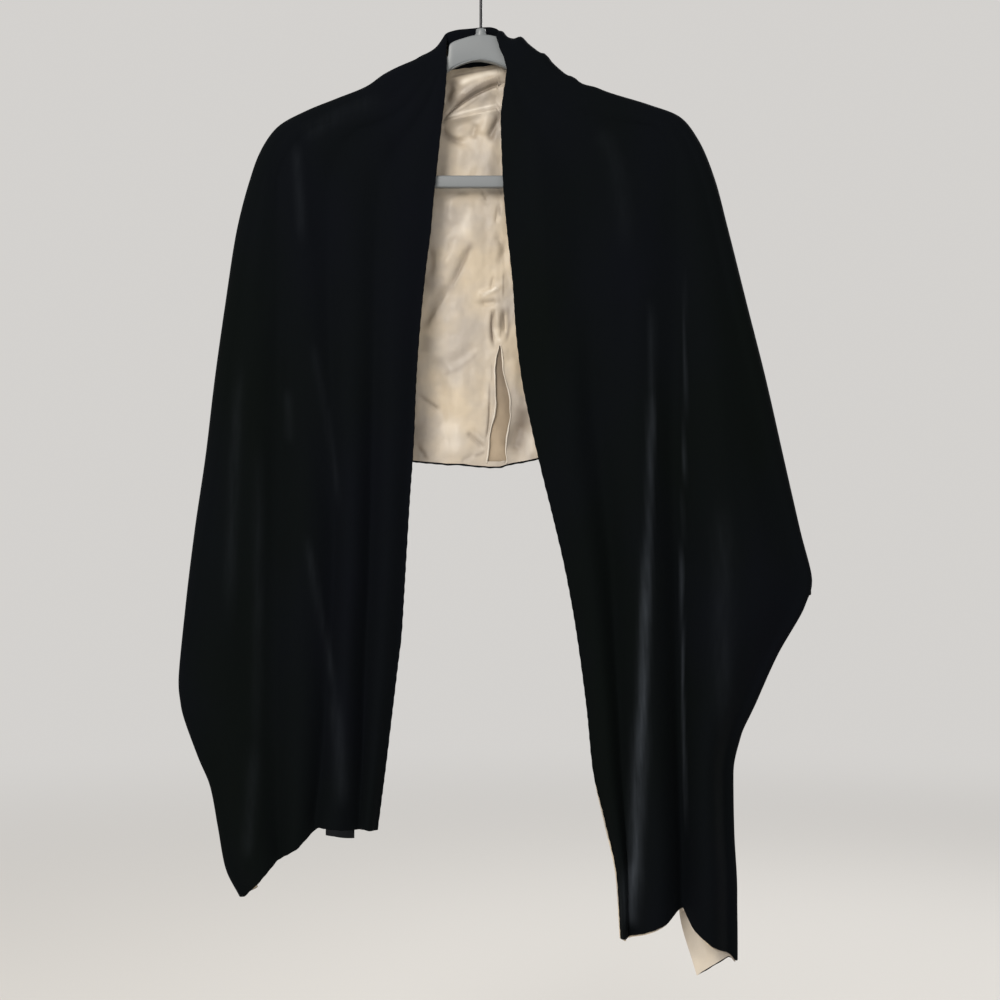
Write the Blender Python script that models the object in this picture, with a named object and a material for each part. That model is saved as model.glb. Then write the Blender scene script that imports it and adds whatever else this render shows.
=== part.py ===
"""Velvet stole, satin lined, hung over a moulded plastic hanger with a wire hook.

The stole is one long rectangle of two layers. Its middle lies over the hanger's neck and its two
halves fall in front. One long edge makes the inner edges of both falls and the turned-down strip
behind the neck. The other long edge is the hem across the back.

Lengths are in millimetres and become metres when a mesh is made. The origin is the inside of the
hook's crook, where a rail would carry it. X is to the right seen from the front, Z is up, and the
front faces -Y.
"""

import math

import bpy
import numpy as np

for old in list(bpy.data.objects):
    bpy.data.objects.remove(old, do_unlink=True)

VELVET_THICK = 1.2
LINING_THICK = 1.0
SEAM_GAP = 0.3

COLOURS = {
    "velvet": ((0.012, 0.011, 0.014), 0.9, 0.0),
    "satin": ((0.66, 0.55, 0.40), 0.35, 0.0),
    "tape": ((0.015, 0.015, 0.018), 0.7, 0.0),
    "plastic": ((0.30, 0.31, 0.33), 0.45, 0.0),
    "wire": ((0.02, 0.02, 0.022), 0.4, 0.6),
}


def table(columns, *rows):
    """Each named column of a table as one array."""
    return dict(zip(columns.split(), np.array(rows, float).T))


# A section is one crosswise line of the cloth: from the inner edge, across the fall to the fold at
# the hanger's arm or side, and down the back to the hem. mid_y is the depth of the fold's middle,
# radius its roundness, hem_y the depth of the back hem. curl is how far round the fold the cloth
# goes in degrees, and tail is what then lies behind the fall. Past the corner of the back hem,
# hem_x and hem_z repeat the fold.
SECTION_COLUMNS = "edge_x edge_z fold_x fold_z hem_x hem_z mid_y radius hem_y curl tail"
LEFT_SECTIONS = table(
    SECTION_COLUMNS,
    (-35.6, -86, -36, -80, -36, -538, 11.7, 2.7, 18, 90, 0),
    (-36.6, -98, -45, -95.5, -45, -537, 3.5, 9.5, 18, 90, 0),
    (-36, -120, -61, -107, -58, -536, 0.8, 9.5, 18, 90, 0),
    (-38, -150, -90, -120, -86, -533, 0.5, 9.5, 17, 90, 0),
    (-42, -185, -121, -139.5, -114, -530, 0.5, 9.5, 19, 90, 0),
    (-46, -222, -152, -152, -142, -528, 0.5, 10, 24, 90, 0),
    (-50, -260, -184, -165, -170, -528, 0.5, 10.5, 26, 90, 0),
    (-53, -294, -214, -182, -195, -530, 0.5, 11, 22, 90, 0),
    (-57, -325, -233, -210, -214, -533, 0.5, 12, 18, 90, 0),
    (-60, -352, -243, -238, -228, -543, 0.5, 13, 20, 90, 0),
    (-64, -395, -256.5, -290, -244, -568, 0.5, 14, 25, 90, 0),
    (-68, -452, -269, -370, -262, -622, 0.5, 15, 26, 90, 0),
    (-70.5, -515, -280, -449, -276, -675, 0, 15, 20, 90, 0),
    (-74.5, -572, -289.5, -528.5, -288, -715, 0, 14, 16, 90, 0),
    (-78, -628, -301, -608, -301, -748, -1, 12, 15, 90, 0),
    (-81, -678, -310.5, -687.5, -311, -775, -2, 9, 11, 90, 0),
    (-84, -722, -318, -768, -318, -784, -2, 7, 5, 90, 0),
    (-87, -746, -315.5, -794, -315.5, -794, -2, 7, 5, 90, 0),
    (-90, -772, -298, -846, -298, -846, -3, 7, 4, 125, 4),
    (-94, -806, -284, -880, -284, -880, -4, 7, 3, 150, 12),
    (-99, -848, -276, -922, -276, -922, -5, 7, 2, 165, 16),
    (-104, -888, -268, -965, -268, -965, -6, 7, 1, 170, 16),
    (-108.5, -925, -253, -994, -253, -994, -7, 7, 0, 170, 12),
)
RIGHT_SECTIONS = table(
    SECTION_COLUMNS,
    (20, -84, 20.5, -78, 20.5, -541, 8.4, 6, 18, 90, 0),
    (18, -85.2, 24, -80.6, 24.5, -540, 2.6, 10.9, 18, 90, 0),
    (20.8, -96, 29, -86.2, 31, -538, 1.8, 11.3, 18, 90, 0),
    (29, -121, 47, -92, 48, -535, 1.2, 10.8, 17, 90, 0),
    (26, -146, 72, -110.5, 71, -530, 0.8, 9.8, 17, 90, 0),
    (23, -174, 101, -133, 98, -527, 0.5, 9.5, 19, 90, 0),
    (24, -208, 138, -146, 132, -528, 0.5, 10, 24, 90, 0),
    (26, -250, 179, -158.5, 168, -528, 0.5, 10.5, 26, 90, 0),
    (30, -295, 211, -171, 194, -530, 0.5, 11, 22, 90, 0),
    (33, -322, 231, -196, 212, -535, 0.5, 12, 18, 90, 0),
    (36, -352, 248, -237, 232, -540, 0.5, 13, 20, 90, 0),
    (39, -398, 262, -290, 250, -552, 0.5, 14, 25, 90, 0),
    (45, -448, 282, -369.5, 272, -604, 0.5, 15, 26, 90, 0),
    (55, -498, 302, -449, 294, -650, 0, 15, 20, 90, 0),
    (66, -546, 320, -528.5, 314, -674, 0, 14, 16, 90, 0),
    (78, -594, 338, -608, 335, -682, -1, 11, 13, 90, 0),
    (88, -636, 350.5, -662, 350.5, -676, -2, 7, 5, 90, 0),
    (93, -660, 343, -688, 343, -688, -2, 7, 5, 90, 0),
    (101, -704, 314, -740, 314, -740, -2, 8, 4, 120, 5),
    (108, -752, 290, -793, 290, -793, -3, 8, 3, 145, 18),
    (114, -800, 275, -826, 275, -826, -4, 8, 2, 165, 30),
    (120, -860, 267, -866, 267, -866, -5, 8, 1, 178, 44),
    (133, -915, 268, -926, 268, -926, -6, 8, 0, 180, 50),
    (145, -972, 271, -990, 271, -990, -7, 8, 0, 180, 50),
    (149, -1037, 271, -1061, 271, -1061, -8, 8, 0, 180, 32),
)
# The strip turned down behind the neck, from its left end to its right end.
COLLAR_SECTIONS = table(
    SECTION_COLUMNS,
    (-33.8, -118, -34.2, -79, -34.2, -538, 11.7, 2.7, 18, 90, 0),
    (-23, -116, -23.5, -76, -23, -538, 11.7, 2.7, 18, 90, 0),
    (-9, -114.5, -10, -74.8, -10, -539.5, 11.7, 2.7, 19, 90, 0),
    (6, -113, 3, -73.5, 4, -540.5, 11.7, 2.7, 20, 90, 0),
    (16, -112, 10, -73.3, 11, -541, 11.7, 2.7, 19, 90, 0),
    (28, -110, 17.6, -75.4, 17.5, -541, 11.2, 3.2, 18, 90, 0),
)

# Lines between the rolls of a fall, each by its x at three heights, from the inner edge outward.
ROLL_HEIGHTS = (-350, -650, -950)
VALLEY_COLUMNS = "x_high x_mid x_low"
LEFT_VALLEYS = table(VALLEY_COLUMNS, (-112, -118, -128), (-166, -158, -176), (-222, -222, -216))
RIGHT_VALLEYS = table(VALLEY_COLUMNS, (112, 140, 156), (217, 212, 217))
# Rolls, each by how far it stands forward at those heights, how tight its valleys are and how far
# its crest leans to the outside.
ROLL_COLUMNS = "depth_high depth_mid depth_low tight lean"
LEFT_ROLLS = table(
    ROLL_COLUMNS,
    (5, 10, 11, 0.2, 0.1),
    (7, 14, 16, 0.25, -0.15),
    (6, 12, 15, 0.25, 0.2),
    (4, 9, 12, 0.2, -0.2),
)
RIGHT_ROLLS = table(
    ROLL_COLUMNS,
    (7, 12, 8, 0.15, 0.1),
    (10, 22, 28, 0.25, -0.1),
    (8, 22, 28, 0.3, 0.15),
)
# How far the end hem of each fall drops or lifts, by x and z along it.
LEFT_END_HEM = table(
    "x z",
    (-253, -994), (-248, -992.5), (-233, -977.5), (-214, -955), (-191, -940),
    (-178, -926), (-171, -920), (-152, -919.5), (-131, -922), (-120, -921), (-108.5, -923),
)
RIGHT_END_HEM = table(
    "x z",
    (149, -1037), (165, -1030), (180, -1022), (195, -1016), (208, -1005.5), (214, -1003),
    (219, -1014), (224, -1024), (242, -1039), (266, -1054), (271, -1061),
)
END_HEM_REACH = 2.5
RIGHT_TAIL_DROP = 25

# Soft troughs and ridges of the back, each along a line. rise is towards the front.
BACK_CREASES = table(
    "x1 z1 x2 z2 width rise",
    (34, -128, -34, -168, 10, 3.5),
    (24, -142, -30, -190, 14, -3.0),
    (14, -160, 6, -240, 10, 1.6),
    (-12, -280, -34, -345, 9, 2.2),
    (16, -370, 8, -520, 15, 1.8),
    (-52, -330, -46, -520, 16, -2.5),
    (46, -400, 40, -530, 12, -3.0),
    (-30, -420, -20, -536, 10, 2.0),
    (-150, -330, -140, -528, 22, 9),
    (-195, -300, -196, -530, 20, -7),
    (-235, -360, -246, -568, 16, 7),
    (150, -330, 146, -528, 22, 9),
    (196, -300, 194, -530, 20, -7),
    (240, -360, 251, -556, 16, 7),
    (-100, -220, -92, -500, 26, -4),
    (104, -230, 96, -500, 26, -4),
)

# The lining has come apart along a slit near the middle of the back hem.
SLIT = table(
    "z left right",
    (-411, 20.6, 21.4), (-425, 17.5, 23.5), (-440, 15.5, 25), (-456, 16.5, 28.5),
    (-470, 17, 32), (-484, 15.5, 32), (-500, 12, 29.5), (-514, 9.5, 28), (-526, 8.5, 27),
)
# Gathers that stand up along the ridge of the shoulders.
RIDGE_BUMPS = table(
    "x width rise",
    (43.5, 5.0, 4.5), (69.5, 4.5, 3.8), (99, 5.0, 2.8), (-62, 5.0, 1.0), (122, 8.0, 1.2), (-104, 9.0, 1.2),
)

# Hanger body, half of it: a section goes from the outer line to the window's line. On the left side
# the two lines lie higher by left_outer and left_inner.
HANGER_MIDDLE = 1.0
HANGER_SECTIONS = table(
    "outer_x outer_z inner_x inner_z half_y left_outer left_inner",
    (0, -83.4, 0, -111.3, 5.5, 0, 0),
    (9, -84.3, 9, -112.8, 5.5, -0.6, 1.2),
    (18, -86.4, 17.5, -115.4, 5.5, -1, 1.8),
    (25, -90, 25, -118.6, 5.5, 0.4, 2),
    (30, -94.5, 29, -120.8, 5.5, 2.7, 2.2),
    (33.5, -102, 31.5, -122.8, 5.4, 6.5, 3),
    (35, -108, 34, -124.5, 5.2, 2, 3),
    (44, -110.6, 41, -127.5, 5, 0, 0),
    (62, -118.5, 58, -134, 5, 0, 0),
    (85, -129, 81, -143.5, 5, 0, 0),
    (110, -139.2, 106, -153.5, 5, 0, 0),
    (140, -150.6, 136, -165, 5, 0, 0),
    (168, -161.1, 163, -175.5, 5, 0, 0),
    (190, -170.1, 184, -184.5, 5, 0, 0),
    (203, -181, 194, -193, 5, 0, 0),
    (211, -192, 199, -200, 5, 0, 0),
    (214, -205, 201.5, -207.5, 5, 0, 0),
    (212.5, -219, 200.5, -216, 5, 0, 0),
    (206, -233, 195.5, -225, 5, 0, 0),
    (195, -242, 186, -231, 5, 0, 0),
    (180, -245.5, 176, -232.8, 5, 0, 0),
    (150, -245.5, 150, -232.8, 5, 0, 0),
    (75, -245.5, 75, -232.8, 5, 0, 0),
    (0, -245.5, 0, -232.8, 5, 0, 0),
)
KNOB_RADIUS = 5.4
KNOB_TOP = -77.0
HOOK_WIRE = 1.55
HOOK_INSIDE = 19.0
HOOK_TIP_DEGREES = 200
HOOK_NECK_DEGREES = -70
SHANK_FOOT = -100.0

LABEL_LEFT = -161.0
LABEL_RIGHT = -132.0
LABEL_DROP = 8.2
LABEL_THICK = 0.8


def along(keys, values, at):
    """Values read smoothly between the keys, without overshoot."""
    keys = np.asarray(keys, float)
    values = np.asarray(values, float)
    at = np.clip(at, keys[0], keys[-1])
    step = np.diff(keys)
    rate = np.diff(values) / step
    slope = np.zeros(len(keys))
    inner = rate[:-1] * rate[1:] > 0
    spread = step[:-1] + step[1:]
    weight_a = (2 * step[1:] + step[:-1]) / (3 * spread)
    weight_b = (step[1:] + 2 * step[:-1]) / (3 * spread)
    shares = weight_a / np.where(inner, rate[:-1], 1) + weight_b / np.where(inner, rate[1:], 1)
    slope[1:-1] = np.where(inner, 1 / np.where(inner, shares, 1), 0)
    slope[0] = rate[0]
    slope[-1] = rate[-1]
    k = np.clip(np.searchsorted(keys, at, side="right") - 1, 0, len(keys) - 2)
    t = (at - keys[k]) / step[k]
    start = values[k] * (1 + 2 * t) * (1 - t) ** 2 + slope[k] * step[k] * t * (1 - t) ** 2
    finish = values[k + 1] * t**2 * (3 - 2 * t) + slope[k + 1] * step[k] * t**2 * (t - 1)
    return start + finish


def ease(value):
    value = np.clip(value, 0, 1)
    return value * value * (3 - 2 * value)


def section_at(sections, u):
    """Every column of a section table at the places u along it, with the ridge's gathers."""
    keys = np.arange(len(sections["edge_x"]))
    cut = {name: along(keys, values, u) for name, values in sections.items()}
    for x, width, rise in zip(*RIDGE_BUMPS.values()):
        cut["fold_z"] = cut["fold_z"] + rise * np.exp(-(((cut["fold_x"] - x) / width) ** 2))
    return cut


def roll_lines(cut, valleys, count):
    """Where each roll of a fall starts and ends, as shares of the way from edge to fold."""
    low_first = np.argsort(ROLL_HEIGHTS)
    heights = np.array(ROLL_HEIGHTS, float)[low_first]
    width = cut["fold_x"] - cut["edge_x"]
    width = np.where(np.abs(width) < 1, np.sign(cut["fold_x"]), width)
    lines = [np.zeros_like(width)]
    for k in range(count - 1):
        xs = np.array([valleys[name][k] for name in ("x_high", "x_mid", "x_low")])[low_first]
        share = np.full_like(width, (k + 1) / count)
        for _ in range(4):
            z = cut["edge_z"] + share * (cut["fold_z"] - cut["edge_z"])
            share = np.clip((along(heights, xs, z) - cut["edge_x"]) / width, 0, 1)
        settled = ease((-150 - cut["edge_z"]) / 200)
        share = settled * share + (1 - settled) * (k + 1) / count
        room = 0.06 * (count - 1 - k)
        lines.append(np.clip(share, lines[-1] + 0.06, 0.97 - room))
    lines.append(np.ones_like(width))
    return lines


def fall_surface(sections, valleys, rolls, end_hem, tail_drop, u, v):
    """Points of a fall. u counts sections from the neck; v is 0 at the edge, 1 at the rolls' end
    and 2 where the cloth passes to the back or ends."""
    cut = section_at(sections, u)
    count = len(rolls["tight"])
    run_x = cut["fold_x"] - cut["edge_x"]
    run_z = cut["fold_z"] - cut["edge_z"]
    chord = np.hypot(run_x, run_z)
    turn = np.minimum(cut["radius"], 0.85 * chord)
    front = np.clip(v, 0, 1)
    lines = roll_lines(cut, valleys, count)
    roll = np.clip(np.floor(front * count), 0, count - 1).astype(int)
    t = front * count - roll
    start = np.choose(roll, lines[:-1])
    finish = np.choose(roll, lines[1:])
    t = t + rolls["lean"][roll] * np.sin(math.pi * t) ** 2 * t * (1 - t)
    share = start + (finish - start) * (t - rolls["tight"][roll] * np.sin(2 * math.pi * t) / (2 * math.pi))
    height = cut["edge_z"] + share * run_z
    steps = np.array([-950, -650, -350, -120], float)
    depth = np.zeros_like(share)
    for k in range(count):
        sizes = (rolls["depth_low"][k], rolls["depth_mid"][k], rolls["depth_high"][k], 0)
        depth = np.where(roll == k, along(steps, sizes, height), depth)
    reach = share * (chord - turn)
    y = cut["mid_y"] - cut["radius"] - depth * (1 - np.cos(2 * math.pi * t)) / 2
    around = np.clip(v - 1, 0, 1)
    arc_length = cut["radius"] * np.radians(cut["curl"])
    arc_share = arc_length / (arc_length + cut["tail"])
    angle = np.radians(cut["curl"]) * np.clip(around / arc_share, 0, 1)
    behind = cut["tail"] * np.clip((around - arc_share) / np.maximum(1 - arc_share, 1e-6), 0, 1)
    reach = np.where(v > 1, chord - turn + turn * np.sin(angle) + behind * np.cos(angle), reach)
    y = np.where(v > 1, cut["mid_y"] - cut["radius"] * np.cos(angle) + behind * np.sin(angle), y)
    x = cut["edge_x"] + run_x * reach / chord
    z = cut["edge_z"] + run_z * reach / chord
    last = len(sections["edge_x"]) - 1
    near_end = ease((u - last + END_HEM_REACH) / END_HEM_REACH)
    order = np.argsort(end_hem["x"])
    hem_z = np.interp(x, end_hem["x"][order], end_hem["z"][order])
    straight = sections["edge_z"][-1] + (x - sections["edge_x"][-1]) * (
        (sections["fold_z"][-1] - sections["edge_z"][-1])
        / (sections["fold_x"][-1] - sections["edge_x"][-1])
    )
    fade = np.where(v > 1, np.clip(1 - 3 * around, 0, 1), 1)
    z = z + near_end * fade * (hem_z - straight)
    z = z - tail_drop * behind / np.maximum(cut["tail"], 1) * ease(cut["tail"] / 30)
    return np.stack([x, y, z], -1)


def crease_height(x, z, creases):
    """How far the creases lift a point towards the front."""
    total = np.zeros_like(x)
    for x1, z1, x2, z2, width, rise in zip(*creases.values()):
        length = math.hypot(x2 - x1, z2 - z1)
        ax, az = (x2 - x1) / length, (z2 - z1) / length
        down = (x - x1) * ax + (z - z1) * az
        off = (x - x1) * az - (z - z1) * ax
        start = ease(down / (0.25 * length) + 0.3)
        finish = ease((length - down) / (0.25 * length) + 0.7)
        total = total + rise * np.exp(-((off / width) ** 2)) * start * finish
    return total


def back_surface(sections, u, w):
    """Points of the back. w is 0 at the fold, 1 where it hangs free and 2 at the hem."""
    cut = section_at(sections, u)
    run_x = cut["hem_x"] - cut["fold_x"]
    run_z = cut["hem_z"] - cut["fold_z"]
    drop = np.hypot(run_x, run_z)
    turn = np.minimum(cut["radius"], 0.6 * drop)
    angle = np.clip(w, 0, 1) * math.pi / 2
    free = np.clip(w - 1, 0, 1)
    reach = turn * (1 - np.cos(angle)) + free * (drop - turn)
    x = cut["fold_x"] + run_x * reach / drop
    z = cut["fold_z"] + run_z * reach / drop
    y = cut["mid_y"] + cut["radius"] * np.sin(angle)
    y = y + free * (cut["hem_y"] - cut["mid_y"] - cut["radius"])
    y = y - ease(free * 6) * crease_height(x, z, BACK_CREASES)
    return np.stack([x, y, z], -1)


def joined_sections():
    """One table for the whole back, from the corner of the hem on the left to the one on the right."""
    left_last = 16
    right_last = 16
    joined = {}
    for name in SECTION_COLUMNS.split():
        joined[name] = np.concatenate(
            [
                LEFT_SECTIONS[name][left_last::-1],
                COLLAR_SECTIONS[name],
                RIGHT_SECTIONS[name][: right_last + 1],
            ]
        )
    return joined


def facing(surface, u, v, front):
    """Points on a surface and the unit directions to its velvet side."""
    here = surface(u, v)
    small = 0.02
    along_u = surface(u + small, v) - surface(u - small, v)
    along_v = surface(u, v + small) - surface(u, v - small)
    normal = np.cross(along_u, along_v) * front
    return here, normal / np.linalg.norm(normal, axis=-1, keepdims=True)


def material(name):
    colour, rough, metal = COLOURS[name]
    made = bpy.data.materials.new(name)
    made.use_nodes = True
    shader = made.node_tree.nodes["Principled BSDF"]
    shader.inputs["Base Color"].default_value = (*colour, 1)
    shader.inputs["Roughness"].default_value = rough
    shader.inputs["Metallic"].default_value = metal
    return made


def add_mesh(name, points, faces, look):
    mesh = bpy.data.meshes.new(name)
    mesh.from_pydata([tuple(p) for p in np.asarray(points) / 1000], [], faces)
    mesh.validate()
    made = bpy.data.objects.new(name, mesh)
    bpy.context.scene.collection.objects.link(made)
    made.data.materials.append(material(look))
    return made


def add_shell(name, points, normals, low, high, look):
    """A closed sheet between two distances from a grid of points, measured along its normals."""
    rows, columns = points.shape[:2]
    top = points + high * normals
    bottom = points + low * normals
    size = rows * columns
    faces = []

    def at(i, j, layer=0):
        return layer * size + i * columns + j

    for i in range(rows - 1):
        for j in range(columns - 1):
            corners = [(i, j), (i + 1, j), (i + 1, j + 1), (i, j + 1)]
            across = np.linalg.norm(points[i, j] - points[i + 1, j + 1])
            other = np.linalg.norm(points[i + 1, j] - points[i, j + 1])
            if across > other:
                corners = corners[1:] + corners[:1]
            for a, b, c in ((0, 1, 2), (0, 2, 3)):
                faces.append((at(*corners[a]), at(*corners[b]), at(*corners[c])))
                faces.append((at(*corners[a], 1), at(*corners[c], 1), at(*corners[b], 1)))
    rim = [(i, 0) for i in range(rows)]
    rim += [(rows - 1, j) for j in range(1, columns)]
    rim += [(i, columns - 1) for i in range(rows - 2, -1, -1)]
    rim += [(0, j) for j in range(columns - 2, 0, -1)]
    for k, here in enumerate(rim):
        after = rim[(k + 1) % len(rim)]
        faces.append((at(*here), at(*here, 1), at(*after, 1)))
        faces.append((at(*here), at(*after, 1), at(*after)))
    vertices = np.concatenate([top.reshape(-1, 3), bottom.reshape(-1, 3)])
    corners = vertices[np.array(faces)]
    if np.linalg.det(corners).sum() < 0:
        faces = [face[::-1] for face in faces]
    return add_mesh(name, vertices, faces, look)


def add_cloth(name, points, normals):
    """The velvet of one panel and, under it, its lining."""
    add_shell("velvet_" + name, points, normals, 0, VELVET_THICK, "velvet")
    return add_shell(
        "lining_" + name, points, normals, -SEAM_GAP - LINING_THICK, -SEAM_GAP, "satin"
    )


def add_fall(name, sections, valleys, rolls, end_hem, tail_drop, front, columns):
    def surface(u, v):
        return fall_surface(sections, valleys, rolls, end_hem, tail_drop, u, v)

    last = len(sections["edge_x"]) - 1
    u, v = np.meshgrid(np.arange(last + 1.0), columns, indexing="ij")
    add_cloth(name, *facing(surface, u, v, front))


def add_slit_cutter():
    """A prism through the lining with the outline of the slit."""
    outline = list(zip(SLIT["left"], SLIT["z"])) + list(zip(SLIT["right"], SLIT["z"]))[::-1]
    count = len(outline)
    points = [(x, -5.0, z) for x, z in outline] + [(x, 60.0, z) for x, z in outline]
    faces = [tuple(range(count)), tuple(range(2 * count - 1, count - 1, -1))]
    for k in range(count):
        after = (k + 1) % count
        faces.append((k, k + count, after + count, after))
    cutter = add_mesh("slit_cutter", points, faces, "satin")
    cutter.hide_render = True
    cutter.hide_viewport = True
    return cutter


def cut_with(target, cutter, operation="DIFFERENCE"):
    modifier = target.modifiers.new("cut", "BOOLEAN")
    modifier.object = cutter
    modifier.operation = operation
    modifier.solver = "EXACT"


def add_ring(name, centres, across, outward, look, closed):
    """A tube through the centres, with a rounded section between two half sizes."""
    turns = np.linspace(0, 2 * math.pi, 12, endpoint=False) + math.pi / 12
    square = 0.55
    shape_a = np.sign(np.cos(turns)) * np.abs(np.cos(turns)) ** square
    shape_b = np.sign(np.sin(turns)) * np.abs(np.sin(turns)) ** square
    points = centres[:, None] + across[:, None] * shape_a[None, :, None]
    points = points + outward[:, None] * shape_b[None, :, None]
    rows, around = points.shape[:2]
    faces = []
    for i in range(rows if closed else rows - 1):
        for j in range(around):
            a = i * around + j
            b = i * around + (j + 1) % around
            c = ((i + 1) % rows) * around + (j + 1) % around
            d = ((i + 1) % rows) * around + j
            faces.append((a, b, c, d))
    if not closed:
        faces.append(tuple(range(around))[::-1])
        faces.append(tuple((rows - 1) * around + j for j in range(around)))
    return add_mesh(name, points.reshape(-1, 3), faces, look)


def add_lathe(name, profile, centre_x, look, around=24):
    """A solid turned about a vertical line, from (radius, z) pairs, bottom first."""
    points = []
    faces = []
    for radius, z in profile:
        for k in range(around):
            angle = 2 * math.pi * k / around
            points.append((centre_x + radius * math.cos(angle), radius * math.sin(angle), z))
    for i in range(len(profile) - 1):
        for k in range(around):
            a = i * around + k
            b = i * around + (k + 1) % around
            faces.append((a, b, b + around, a + around))
    faces.append(tuple(range(around))[::-1])
    faces.append(tuple((len(profile) - 1) * around + k for k in range(around)))
    return add_mesh(name, points, faces, look)


def add_hanger():
    cut = HANGER_SECTIONS
    half = np.array(list(cut.values())).T
    mirrored = half[-2:0:-1].copy()
    mirrored[:, [0, 2]] *= -1
    mirrored[:, [1, 3]] += mirrored[:, [5, 6]]
    rows = np.concatenate([half, mirrored])
    zero = np.zeros(len(rows))
    outer = np.stack([rows[:, 0] + HANGER_MIDDLE, zero, rows[:, 1]], -1)
    inner = np.stack([rows[:, 2] + HANGER_MIDDLE, zero, rows[:, 3]], -1)
    depth = np.stack([zero, rows[:, 4], zero], -1)
    body = add_ring("hanger_body", (outer + inner) / 2, (outer - inner) / 2, depth, "plastic", True)
    knob = add_lathe(
        "knob_helper",
        [(KNOB_RADIUS, -93), (KNOB_RADIUS, KNOB_TOP - 1.5), (KNOB_RADIUS - 1.5, KNOB_TOP)],
        HANGER_MIDDLE,
        "plastic",
    )
    bore = add_lathe(
        "bore_helper",
        [(HOOK_WIRE + SEAM_GAP, SHANK_FOOT - SEAM_GAP), (HOOK_WIRE + SEAM_GAP, -60)],
        HANGER_MIDDLE,
        "plastic",
    )
    for helper in (knob, bore):
        helper.hide_render = True
        helper.hide_viewport = True
    cut_with(body, knob, "UNION")
    cut_with(body, bore)


def hook_line():
    """Middle line of the hook's wire, from its tip over the crook and down the shank."""
    radius = HOOK_INSIDE + HOOK_WIRE
    line = []
    for degrees in np.linspace(HOOK_TIP_DEGREES, HOOK_NECK_DEGREES, 37):
        angle = math.radians(degrees)
        line.append((radius * math.cos(angle), -HOOK_INSIDE + radius * math.sin(angle)))
    neck = math.radians(-HOOK_NECK_DEGREES)
    start_x, start_z = line[-1]
    bend = (start_x - HANGER_MIDDLE) / (1 - math.cos(neck))
    for share in np.linspace(0.15, 1, 7):
        angle = neck * (1 - share)
        line.append(
            (
                HANGER_MIDDLE + bend * (1 - math.cos(angle)),
                start_z - bend * (math.sin(neck) - math.sin(angle)),
            )
        )
    line.append((HANGER_MIDDLE, SHANK_FOOT))
    return np.array(line)


def add_hook():
    line = hook_line()
    ahead = np.gradient(line, axis=0)
    ahead /= np.linalg.norm(ahead, axis=1, keepdims=True)
    zero = np.zeros(len(line))
    centres = np.stack([line[:, 0], zero, line[:, 1]], -1)
    side = np.stack([ahead[:, 1], zero, -ahead[:, 0]], -1)
    points = []
    around = 10
    for centre, outward in zip(centres, side):
        for k in range(around):
            angle = 2 * math.pi * k / around
            points.append(
                centre
                + HOOK_WIRE * math.cos(angle) * outward
                + np.array([0, HOOK_WIRE * math.sin(angle), 0])
            )
    faces = []
    for i in range(len(line) - 1):
        for k in range(around):
            a = i * around + k
            b = i * around + (k + 1) % around
            faces.append((a, b, b + around, a + around))
    faces.append(tuple(range(around))[::-1])
    faces.append(tuple((len(line) - 1) * around + k for k in range(around)))
    add_mesh("hanger_hook", points, faces, "wire")


def add_label():
    """A blank tab caught in the end hem of the left fall."""
    last = len(LEFT_SECTIONS["edge_x"]) - 1
    v = np.linspace(0, 1, 400)
    hem = fall_surface(
        LEFT_SECTIONS, LEFT_VALLEYS, LEFT_ROLLS, LEFT_END_HEM, 0, np.full(400, float(last)), v
    )
    order = np.argsort(hem[:, 0])
    xs = np.linspace(LABEL_LEFT, LABEL_RIGHT, 9)
    ys = np.interp(xs, hem[order, 0], hem[order, 1])
    zs = np.interp(xs, hem[order, 0], hem[order, 2])
    ys = np.polyval(np.polyfit(xs, ys, 2), xs)
    lean = np.linspace(-1.2, 1.2, 9)
    rows = []
    for share in (0.0, 0.5, 1.0):
        rows.append(np.stack([xs, ys, zs - 0.35 - share * (LABEL_DROP + lean)], -1))
    points = np.array(rows)
    slope = np.gradient(ys, xs)
    facing_front = np.stack([slope, -np.ones(9), np.zeros(9)], -1)
    facing_front /= np.linalg.norm(facing_front, axis=1, keepdims=True)
    normals = np.repeat(facing_front[None], 3, axis=0)
    add_shell("label", points, normals, -LABEL_THICK / 2, LABEL_THICK / 2, "tape")


def fall_columns(rolls, steps):
    """Places across a fall: even steps in each roll, then round the outer fold."""
    front = np.linspace(0, 1, rolls * steps + 1)
    around = 1 + np.array([0.2, 0.4, 0.6, 0.8, 1.0])
    return np.concatenate([front, around])


seam = 0.02
left_columns = fall_columns(4, 5)
left_columns[-1] -= seam
right_columns = fall_columns(3, 6)
right_columns[-1] -= seam
add_fall("left", LEFT_SECTIONS, LEFT_VALLEYS, LEFT_ROLLS, LEFT_END_HEM, 0, -1, left_columns)
add_fall(
    "right", RIGHT_SECTIONS, RIGHT_VALLEYS, RIGHT_ROLLS, RIGHT_END_HEM, RIGHT_TAIL_DROP, 1, right_columns
)


def collar_surface(u, v):
    cut = section_at(COLLAR_SECTIONS, u)
    run_x = cut["fold_x"] - cut["edge_x"]
    run_z = cut["fold_z"] - cut["edge_z"]
    chord = np.hypot(run_x, run_z)
    angle = np.clip(v - 1, 0, 1) * math.pi / 2
    reach = np.clip(v, 0, 1) * (chord - cut["radius"]) + cut["radius"] * np.sin(angle)
    x = cut["edge_x"] + run_x * reach / chord
    z = cut["edge_z"] + run_z * reach / chord
    y = cut["mid_y"] - cut["radius"] * np.cos(angle)
    return np.stack([x, y, z], -1)


collar_columns = np.array([0, 0.25, 0.5, 0.75, 1, 1.25, 1.5, 1.75, 2 - 4 * seam])
u, v = np.meshgrid(np.arange(6.0), collar_columns, indexing="ij")
points, normals = facing(collar_surface, u, v, 1)
add_cloth("collar", points, normals)

back_sections = joined_sections()


def whole_back(u, w):
    return back_surface(back_sections, u, w)


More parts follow.
